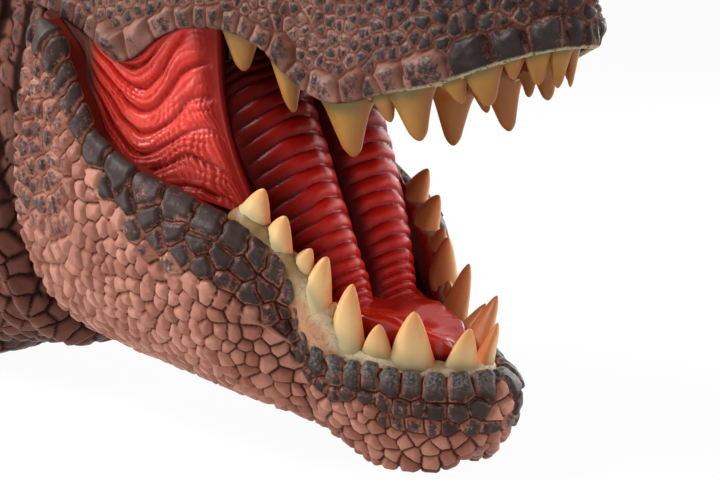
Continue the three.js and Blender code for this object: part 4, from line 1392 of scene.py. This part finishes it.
# Its ridges: spacing, how they bow, shape, where they begin, height, and the share of the lip
# over which they end
RIDGE_STEP = 5.5
RIDGE_BOW = 0.12
RIDGE_SHAPE = 0.6
RIDGE_FROM = (0.12, 0.4)
RIDGE_HEIGHT = 0.9
RIDGE_END = 0.06
PALATE_LUMPS = (0.2, 4, 5)
# Painted shade over the whole palate
PALATE_PAINTED_SHADE = 0.3


def palate():
    inset = SKIN_WALL + 2 * UPPER_GUM_HALF + 2 * SEAT_GAP
    columns, rows = PALATE_GRID
    s, share = grid(spread(-PALATE_END, PALATE_END, columns), spread(0, 1, rows))
    edge = lip.shifted(s, -inset, PALATE_OVER_LIP)
    rear = ease(np.abs(s), PALATE_REAR_FROM, PALATE_END)
    middle_x = set_back(edge[..., 0], NOSE_FROM, UPPER_LIP[0][0] - inset, NOSE_SETBACK)
    middle_z = np.maximum(edge[..., 2], UPPER_LIP[0][2]) + PALATE_ARCH * mix(1, PALATE_REAR_ARCH, rear)
    points = domed(edge, middle_x, middle_z, share, 1, 1)
    normals = -normals_of(points, PALATE_BELOW, seam=True)
    x, y, _ = xyz(points)
    wave = np.abs(np.cos(x * math.pi / RIDGE_STEP + RIDGE_BOW * np.abs(y)))
    ridge = wave ** RIDGE_SHAPE * ease(share, *RIDGE_FROM)
    ending = fade(np.abs(s), PALATE_END - RIDGE_END, PALATE_END)
    lift = RIDGE_HEIGHT * ridge * ending + lumps(points, PALATE_LUMPS)
    fields = {"rib": ridge, "deep": np.full(ridge.shape, PALATE_PAINTED_SHADE)}
    return shell("palate_lining", raised(points, normals, lift), normals, LINING_WALL, fields, lobe_red)


# Webs at the corners of the mouth, rear to front: upper and lower edge of one side, (x, half-width, z)
WEB_TOP = [
    (-36, 35.8, 112.4), (-28, 36, 109.6), (-20, 36, 106.5), (-11, 35.8, 100), (-4, 34.8, 96.6),
    (5, 33.4, 101.4), (14, 31.8, 105.4), (23.7, 28.8, 106.4),
]
WEB_LOW = [
    (-31, 40, 108.2), (-26, 40.2, 104.6), (-19.5, 40, 98.6), (-15, 39.9, 91.6), (-10.7, 39.6, 83.6),
    (-7, 39.2, 77), (-0.4, 38.4, 71.6), (8, 37.2, 67.6), (17, 35.2, 64.8), (27, 32.2, 62.6),
    (34.5, 29.4, 60), (39.5, 27.4, 55.2),
]
WEB_GRID = (220, 176)
WEB_MIDDLE = (10, 0, 85)
# The middle of the web lies further back and in than its edges
WEB_BOW = 7
WEB_BOW_CURVE = 2.6
WEB_SINK, WEB_SINK_ALONG = 2.5, (1.2, 0.35)
WEB_REAR_SINK = (0.2, 0.34)
# Past its front edge, this share of its length, the web bends round and runs back behind the lobes
WEB_FOLD = 0.3
FOLD_TURN = 0.6 * math.pi
FOLD_OUT, FOLD_IN = 2.2, 3.6
FOLD_BACK, FOLD_BACK_IN = 10, 6.5
FOLD_BACK_FROM = (0.3, 1)
# Folds along the web: how they wander and sag behind and in front, number, start, shape, height and middle
WEB_WANDER = ((0.05, 13, 3), (0.02, 5, 4))
REAR_SAG, REAR_SAG_X = 0.1, (-11, 0.7)
FRONT_SAG, FRONT_SAG_X = 0.27, (1, 19)
MAIN_FOLDS, MAIN_START = 5.2, 0.1
MAIN_SHAPE = 2.2
MAIN_HEIGHT, MAIN_MIDDLE = 1.9, 0.75
# Wrinkles between the folds and across them: number, how they wander, height
FINE_FOLDS, FINE_WANDER = 15.6, (0.8, 7, 6)
FINE_HEIGHT = 0.55
CROSS_FOLDS, CROSS_WANDER = 40, (1.8, 6, 7)
CROSS_HEIGHT, CROSS_MORE = 0.3, 0.6
WRINKLE_SHAPE, WRINKLE_MIDDLE = 0.6, 0.6
# Cross wrinkles are strongest in front and below, where the main folds lose this share
CROSS_BACK, CROSS_DOWN = (0.55, 0.8), (0.3, 0.5)
CROSS_LOSS = 0.6
PATCHES, PATCH_EDGE = (8, 12), (-0.3, 0.3)
FINE_PLAIN, CROSS_PLAIN = 0.35, 0.3
WEB_LUMPS = (0.1, 1.5, 9)
# Where the relief fades: at the rear, the front, the top and the bottom
WEB_REAR, WEB_FRONT = (0.26, 0.42), (0.9, 0.99)
WEB_UPPER, WEB_LOWER = (0.0, 0.06), (0.95, 1)
# Colour: the plain web, shares of the three kinds of folds, painted shade in front, in the fold and below,
# and the rear part that has left the mouth, whose skin colour is darkened as painted shade of the crease
WEB_PLAIN = 0.6
WEB_SHARES = (0.6, 0.25, 0.15)
FRONT_SHADE, FRONT_SHADE_FROM = 0.75, (0.86, 0.95)
FOLD_SHADE, FOLD_SHADE_FROM = 0.25, (0.98, 1.08)
LOW_SHADE, LOW_SHADE_FROM = 0.75, (0.5, 1.0)
WEB_OUTSIDE = (0.28, 0.4)


def spaced(points, shares):
    """Points at shares of the length of a run of points."""
    points = np.array(points, float)
    run = np.concatenate([[0], np.cumsum(np.linalg.norm(np.diff(points, axis=0), axis=1))])
    return through(np.column_stack([run / run[-1], points]), shares)


def web_points(u, down):
    """Points of the left web: u from the rear, 0, past the front edge, 1, and down from 0 to 1."""
    flat = np.minimum(u, 1)
    points = mix(spaced(WEB_TOP, flat), spaced(WEB_LOW, flat), down[..., None])
    x, y, _ = xyz(points)
    middle = np.sin(math.pi * down)
    x -= WEB_BOW * middle * flat ** WEB_BOW_CURVE
    stretch, start = WEB_SINK_ALONG
    y -= WEB_SINK * middle * np.sin(math.pi * np.clip(flat * stretch - start, 0, 1))
    y -= WEB_SINK * fade(flat, *WEB_REAR_SINK) * middle
    past = np.maximum(u - 1, 0) / WEB_FOLD
    bend = past * FOLD_TURN
    x += FOLD_OUT * np.sin(bend) - FOLD_BACK * ease(past, *FOLD_BACK_FROM)
    y -= FOLD_IN * (1 - np.cos(bend)) + FOLD_BACK_IN * ease(past, *FOLD_BACK_FROM)
    return points


def cheek_web(side):
    columns, rows = WEB_GRID
    u, down = grid(spread(0, 1 + WEB_FOLD, columns), spread(0, 1, rows))
    back = np.minimum(u, 1)
    points = web_points(u, down)
    normals = normals_of(points, WEB_MIDDLE)
    x = points[..., 0]
    phase = down + lumps(points, *WEB_WANDER)
    phase = phase + (REAR_SAG * fade(x, *REAR_SAG_X) + FRONT_SAG * ease(x, *FRONT_SAG_X))
    main = np.abs(np.cos(math.pi * (phase * MAIN_FOLDS + MAIN_START)))
    fine = np.abs(np.cos(math.pi * (phase * FINE_FOLDS + lumps(points, FINE_WANDER)))) ** WRINKLE_SHAPE
    across = np.abs(np.cos(math.pi * (back * CROSS_FOLDS + lumps(points, CROSS_WANDER)))) ** WRINKLE_SHAPE
    patchy = ease(rough(points, *PATCHES), *PATCH_EDGE)
    crossed = ease(back, *CROSS_BACK) * ease(down, *CROSS_DOWN)
    shown = ease(back, *WEB_REAR) * fade(u, *WEB_FRONT) * ease(down, *WEB_UPPER) * fade(down, *WEB_LOWER)
    fold = 1 - (1 - main) ** MAIN_SHAPE
    lift = MAIN_HEIGHT * (fold - MAIN_MIDDLE) * (1 - CROSS_LOSS * crossed)
    lift = lift + FINE_HEIGHT * (fine - WRINKLE_MIDDLE) * mix(FINE_PLAIN, 1, patchy)
    cross_height = (CROSS_HEIGHT + CROSS_MORE * crossed) * mix(CROSS_PLAIN, 1, patchy)
    lift = lift + cross_height * (across - WRINKLE_MIDDLE) + lumps(points, WEB_LUMPS)
    skin = raised(points, normals, lift * shown)
    rib = sum(share * form for share, form in zip(WEB_SHARES, (fold, fine, across)))
    deep = FRONT_SHADE * ease(u, *FRONT_SHADE_FROM) + FOLD_SHADE * ease(u, *FOLD_SHADE_FROM)
    deep = np.maximum(deep, LOW_SHADE * ease(down, *LOW_SHADE_FROM))
    fields = {"rib": mix(WEB_PLAIN, rib, shown), "deep": deep, "skin": fade(back, *WEB_OUTSIDE)}
    name = "cheek_web_" + SIDES[side]
    return shell(name, skin * (1, side, 1), normals * (1, side, 1), WEB_WALL, fields, web_red)


# Teeth of one side, front to back: (place along the line, length, width, lean forwards, lean outwards)
UPPER_TEETH = [
    (7.2, 9.6, 5.8, -0.8, -0.5), (13.7, 7.8, 7.2, 0, 0.4), (20.3, 5, 6, 0, 0.3), (28.8, 8.6, 10.2, 1.6, 0),
    (36.9, 5.7, 6.8, 1.8, -1), (49.1, 12.3, 12.4, 2.7, 0.5), (57.6, 6.6, 7, 2.4, 0.3),
    (68.4, 13.8, 13.6, 1.2, -0.7), (88.6, 12.6, 12.4, 1.9, 0.3), (103.2, 10.2, 11.4, 0.9, 0.6),
]
LOWER_TEETH = [
    (3.9, 11.2, 8.6, 1.6, 4), (15.4, 14.8, 11.6, 1.5, 6), (24.2, 9.4, 8.4, 2, 5.6), (32.2, 16.2, 11, 2.4, 4),
    (39.3, 5, 7, 1.6, 0), (45.6, 10.4, 11.4, 2.6, 0), (53.4, 6, 7.6, 3, 0.5), (62, 7.8, 9.8, 3.2, 2.2),
    (71.2, 7.8, 9.2, 3.8, 2),
]


class Gum:
    """A gum that teeth stand in. way is 1 if they point up and -1 if they point down."""

    STEP = 0.01

    def __init__(self, line, inset, drop, way, half, height, end, teeth):
        self.line, self.inset, self.drop, self.length, self.way = line, inset, drop, line.length, way
        self.half, self.height, self.end, self.teeth = half, height, end, teeth

    def at(self, s):
        return self.line.shifted(s, -self.inset, -self.drop)

    def frame(self, s):
        """Directions along the gum, out of the mouth and the way the teeth point."""
        along = direction(self.at, s, self.STEP)
        out = self.line.outward(s)
        face = unit(np.cross(along, out))
        return along, out, face * np.where(face[..., 2:] * self.way < 0, -1, 1)


upper_gum = Gum(lip, SKIN_WALL + SEAT_GAP + UPPER_GUM_HALF, GUM_REACH, -1, UPPER_GUM_HALF, UPPER_GUM_HEIGHT,
                UPPER_GUM_END, UPPER_TEETH)
lower_gum = Gum(gum_line, 0, 0, 1, LOWER_GUM_HALF, LOWER_GUM_HEIGHT, LOWER_GUM_END, LOWER_TEETH)

GUM_RINGS, GUM_SIDES = 360, 36
GUM_SQUARENESS = 2.5
# How bluntly a gum ends
GUM_BLUNT = 14
GUM_LEAST = 0.02
# Collars round the teeth: width for their length, distance from the tooth and thickness, and height
COLLAR_STRETCH = 0.8
COLLAR_RING = (0.3, 1.5)
COLLAR_HEIGHT = 0.9
# The lower gum stands prouder. Only the side that the teeth stand on is raised.
LOWER_GUM_PROUD = 1.1
GUM_FACE = (-0.1, 0.6)
COLLAR_LUMPS = (0.3, 1.1, 6)
GUM_LUMPS = ((0.25, 2.2, 3), (0.12, 0.9, 4))
# Where along the lower gum dark paint begins
GUM_STAIN = (44, 56)


def gum_strip(name, gum, material):
    ends = np.linspace(-1, 1, GUM_RINGS)
    s = ends * gum.end / gum.length
    _, out, face = gum.frame(s)
    angle = turns(GUM_SIDES)
    across, rise = rounded_square(angle, GUM_SQUARENESS)[0], np.sin(angle)
    size = np.sqrt(np.clip((1 - np.abs(ends)) * GUM_BLUNT, GUM_LEAST, 1))[:, None, None]
    middle = gum.at(s)[:, None] - face[:, None] * gum.height
    sideways = out[:, None] * across[None, :, None] * gum.half
    points = middle + (sideways + face[:, None] * rise[None, :, None] * gum.height) * size
    run = np.repeat(s[:, None] * gum.length, GUM_SIDES, 1)
    collar = np.zeros(run.shape)
    for place, _, width, _, _ in gum.teeth:
        for side in (-1, 1):
            far = np.hypot(run - side * place, across[None] * gum.half / COLLAR_STRETCH) - 0.5 * width
            collar = np.maximum(collar, bump(far, *COLLAR_RING))
    lower = gum.way > 0
    up = ease(rise, *GUM_FACE)[None]
    lift = (LOWER_GUM_PROUD * lower + COLLAR_HEIGHT * collar) * up
    lift = lift + collar * lumps(points, COLLAR_LUMPS) + lumps(points, *GUM_LUMPS)
    fields = {"collar": collar * up, "inner": np.repeat(-across[None], GUM_RINGS, 0),
              "rear": ease(np.abs(run), *GUM_STAIN) * lower}
    return loft(name, points + face[:, None] * lift[..., None], fields, material)


TOOTH_RINGS, TOOTH_SIDES = 34, 28
ROOT_DEPTH = 2.6
# Rings lie closer together towards the tip, which ends just before its point
TIP_CROWDING = 1.4
TIP_END = 0.9995
# Upper teeth taper evenly to a round tip: share of the width lost there, and share of the length where it
# begins
TOOTH_TAPER = 0.72
TOOTH_CAP = 0.8
# Lower teeth are fuller
TOOTH_SHOULDER = 1.15
TOOTH_ROUND = 0.62
# Flare at the gum, and the share of the length over which it goes
TOOTH_FLARE = 0.15
TOOTH_FLARE_LENGTH = 0.14
TOOTH_DEPTH = 0.62
TOOTH_HOOK = 0.05
FLUTES, FLUTE_DEPTH, FLUTE_END = 5, 0.022, (0.5, 0.95)
TOOTH_LUMPS = (0.05, 2.5)
# How far the shade of a tooth, partly airbrushed orange and partly painted shade, turns to the inside and
# to the front
SHADE_IN, SHADE_FRONT = 0.8, 0.62


def tooth_width(along, way):
    """Share of a tooth's full width at a share of its length."""
    if way < 0:
        cap = np.clip((along - TOOTH_CAP) / (1 - TOOTH_CAP), 0, 1)
        width = (1 - TOOTH_TAPER * along) * np.sqrt(1 - cap ** 2)
    else:
        width = (1 - along ** TOOTH_SHOULDER) ** TOOTH_ROUND
    return width * (1 + TOOTH_FLARE * np.exp(-along / TOOTH_FLARE_LENGTH))


def tooth(name, gum, form, side, material):
    place, length, width, forwards, outwards = form
    s = np.array(side * place / gum.length)
    along, out, _ = gum.frame(s)
    level = unit(along * (1, 1, 0))
    mouth = gum.at(s)
    tip = mouth - level * side * forwards + out * outwards + np.array([0, 0, gum.way * length])
    root = ROOT_DEPTH / length
    crown = 1 - (1 - np.linspace(0, 1, TOOTH_RINGS - 2)) ** TIP_CROWDING
    share = np.concatenate([[-root, -0.5 * root], crown])
    solid = np.clip(share, 0, TIP_END)
    hook = TOOTH_HOOK * length * (solid ** 2 - solid)
    centre = mouth + (tip - mouth) * share[:, None] - level * side * hook[:, None]
    angle = turns(TOOTH_SIDES)
    flute = 1 + FLUTE_DEPTH * np.cos(FLUTES * angle + place)[None] * fade(solid, *FLUTE_END)[:, None]
    radius = 0.5 * width * tooth_width(solid, gum.way)[:, None] * flute
    points = centre[:, None] + along * (radius * np.cos(angle))[..., None]
    points = points + out * (TOOTH_DEPTH * radius * np.sin(angle))[..., None]
    points += lumps(points, (*TOOTH_LUMPS, place))[..., None] * out
    inner = -np.sin(angle) * SHADE_IN - SHADE_FRONT * side * np.cos(angle)
    fields = {"along": np.repeat(np.clip(share, 0, 1)[:, None], TOOTH_SIDES, 1),
              "inner": np.repeat(inner[None], TOOTH_RINGS, 0)}
    return loft(name, points, fields, material)


# Eye: rings and sides, radius, half of the angle that its dome spans, how far it is sunk, and half the pupil
EYE_RINGS, EYE_SIDES = 26, 64
EYE_RADIUS = 6.6
EYE_SPAN = 1.25
EYE_RIM_SHARE = 0.99
EYE_SUNK = 1.9
PUPIL_WIDTH = (0.3, 1.5)
PUPIL_HEIGHT = (3.0, 5.0)
# Part of the head where the eye's place is looked for
EYE_ALONG = np.linspace(0.4, 0.9, 400)
EYE_UP = np.linspace(0.3, 0.65, 120)
EYE_BEHIND = (0, 0, 110)


def eye(side):
    """A domed eye with an upright slit pupil, set in the hollow of the head's skin."""
    middle = middle_of("eye_" + SIDES[side])
    surface = head_point(*grid(EYE_ALONG * side, EYE_UP))
    normals = normals_of(surface, EYE_BEHIND)
    c, r = np.unravel_index(np.argmin(np.linalg.norm(surface - middle, axis=-1)), surface.shape[:2])
    centre, axis = surface[c, r], normals[c, r]
    ahead = unit(np.array([1.0, 0, 0]) - axis * axis[0])
    up = np.cross(axis, ahead)
    up = up * np.sign(up[2])
    opening = np.linspace(EYE_RIM_SHARE, 0.0, EYE_RINGS)[:, None] * EYE_SPAN
    angle = turns(EYE_SIDES)[None]
    ball = EYE_RADIUS / math.sin(EYE_SPAN)
    out = ball * np.sin(opening)
    rise = ball * (np.cos(opening) - math.cos(EYE_SPAN)) - EYE_SUNK
    across, tall = out * np.cos(angle), out * np.sin(angle)
    points = centre + ahead * across[..., None] + up * tall[..., None] + axis * (rise + 0 * angle)[..., None]
    slit = fade(np.abs(across), *PUPIL_WIDTH) * fade(np.abs(tall), *PUPIL_HEIGHT)
    fields = {"from_middle": np.repeat(out / EYE_RADIUS, EYE_SIDES, 1), "slit": slit}
    return loft("eye_dome_" + SIDES[side], points, fields, eye_gloss)


# Scene, in metres and watts

# Lamps: (name, place, aim, size, power)
LAMPS = [
    ("key", (-0.55, -0.65, 1.0), (0.03, 0, 0.07), (0.55, 0.4), 20.0),
    ("left", (-0.6, -0.85, 0.08), (0.02, 0, 0.03), (0.9, 0.15), 4.8),
    ("fill", (0.85, -0.35, 0.3), (0.05, 0, 0.06), (0.5, 0.6), 0.8),
    ("right", (0.85, 0.5, 0.36), (0.05, 0, 0.06), (0.7, 0.6), 4.4),
    ("rim", (0.15, 1.0, 0.3), (0.05, 0, 0.07), (1.0, 0.5), 7.0),
    ("top", (-0.1, 0.15, 0.95), (0.0, 0, 0.06), (0.5, 0.5), 1.2),
]
WORLD_LIGHT = 0.07
FLOOR_REACH = 6.0
FLOOR_DROP = 0.0005
FLOOR_LIGHT = (0.88, 0.88, 0.88)
FLOOR_SEEN = (0.95, 0.95, 0.95)
FLOOR_ROUGHNESS = 0.9
# Share of the floor that is plain white where it is seen. The rest shows the shadow.
FLOOR_WHITE = 0.96
# The photo's view: where the camera aims, how far off it stands, and from where
AIM = Vector((0.045, 0, 0.0522))
STAND_OFF = 0.504
AZIMUTH = math.radians(45)
ELEVATION = math.radians(8.86)
LENS = 100
SENSOR = 36
CLIP_START = 0.01


def aimed(thing, place, aim):
    thing.location = place
    thing.rotation_euler = (aim - place).to_track_quat("-Z", "Y").to_euler()


def area_light(name, place, aim, size, power):
    lamp = bpy.data.lights.new(name, "AREA")
    lamp.shape = "RECTANGLE"
    lamp.size, lamp.size_y = size
    lamp.energy = power
    aimed(placed(name, lamp), Vector(place), Vector(aim))


def sees_backdrop(tree):
    """1 for the rays that show the white backdrop: seen directly, mirrored or through something clear."""
    path = tree.nodes.new("ShaderNodeLightPath")
    shown = path.outputs["Is Camera Ray"]
    for kind in ("Is Glossy Ray", "Is Transmission Ray"):
        either = tree.nodes.new("ShaderNodeMath")
        either.operation = "MAXIMUM"
        tree.links.new(shown, either.inputs[0])
        tree.links.new(path.outputs[kind], either.inputs[1])
        shown = either.outputs[0]
    return shown


def mixed_shaders(tree, share, first, second, output):
    mixed = tree.nodes.new("ShaderNodeMixShader")
    for number, socket in enumerate((share, first.outputs[0], second.outputs[0])):
        tree.links.new(socket, mixed.inputs[number])
    tree.links.new(mixed.outputs[0], tree.nodes[output].inputs["Surface"])


def floor():
    p = Paint("white_floor")
    shown = sees_backdrop(p.tree)
    p.finish(p.blend(shown, FLOOR_LIGHT, FLOOR_SEEN), FLOOR_ROUGHNESS, 0.0)
    glow = p.node("Emission", {"Color": WHITE})
    mixed_shaders(p.tree, p.times(shown, FLOOR_WHITE), p.shader, glow, "Material Output")
    mesh = bpy.data.meshes.new("floor")
    corners = [(x * FLOOR_REACH, y * FLOOR_REACH, 0) for x, y in ((-1, -1), (1, -1), (1, 1), (-1, 1))]
    mesh.from_pydata(corners, [], [(0, 1, 2, 3)])
    mesh.materials.append(p.material)
    thing = placed("floor", mesh)
    thing.location.z = -FLOOR_DROP


def world():
    space = bpy.data.worlds.new("studio")
    bpy.context.scene.world = space
    space.use_nodes = True
    tree = space.node_tree
    light, white = tree.nodes["Background"], tree.nodes.new("ShaderNodeBackground")
    for background, strength in ((light, WORLD_LIGHT), (white, 1.0)):
        background.inputs["Color"].default_value = (*WHITE, 1)
        background.inputs["Strength"].default_value = strength
    mixed_shaders(tree, sees_backdrop(tree), light, white, "World Output")


def camera():
    lens = bpy.data.cameras.new("photo_view")
    lens.lens = LENS
    lens.sensor_width = SENSOR
    lens.clip_start = CLIP_START
    thing = placed("photo_view", lens)
    level = math.cos(ELEVATION)
    back = Vector((math.sin(AZIMUTH) * level, -math.cos(AZIMUTH) * level, math.sin(ELEVATION)))
    aimed(thing, AIM + back * STAND_OFF, AIM)
    bpy.context.scene.camera = thing


def finished(thing, slot, *nodes):
    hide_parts(*nodes)
    return thing


def build():
    camera()
    world()
    floor()
    for lamp in LAMPS:
        area_light(*lamp)
    bpy.context.scene.view_settings.view_transform = "Standard"

    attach(finished(head_skin(), "head_skin", "head_skin"), "head")
    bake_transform(finished(jaw_skin(), "jaw_skin", "jaw_skin"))
    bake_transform(finished(neck_skin(), "neck_skin", "neck_sleeve"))
    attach(finished(palate(), "mouth_lining", "palate"), "head")
    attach(finished(mouth_floor(), "mouth_lining", "mouth_floor"), "jaw")
    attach(finished(tongue(), "mouth_lining", "tongue"), "jaw")
    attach(finished(gum_strip("upper_gum_strip", upper_gum, upper_gum_paint), "gum", "upper_gum"), "head")
    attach(finished(gum_strip("lower_gum_strip", lower_gum, lower_gum_paint), "gum", "lower_gum"), "jaw")
    for side, word in SIDES.items():
        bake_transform(finished(throat_lobe(side), "mouth_lining", "throat_lobe_" + word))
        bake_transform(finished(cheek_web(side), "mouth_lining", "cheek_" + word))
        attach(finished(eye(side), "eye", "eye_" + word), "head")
        for n, form in enumerate(UPPER_TEETH, 1):
            node = f"upper_tooth_{word}_{n}"
            painted = tooth(node + "_painted", upper_gum, form, side, upper_ivory)
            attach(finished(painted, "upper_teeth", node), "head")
        for n, form in enumerate(LOWER_TEETH, 1):
            node = f"lower_tooth_{word}_{n}"
            painted = tooth(node + "_painted", lower_gum, form, side, lower_ivory)
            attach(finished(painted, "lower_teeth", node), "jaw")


build()
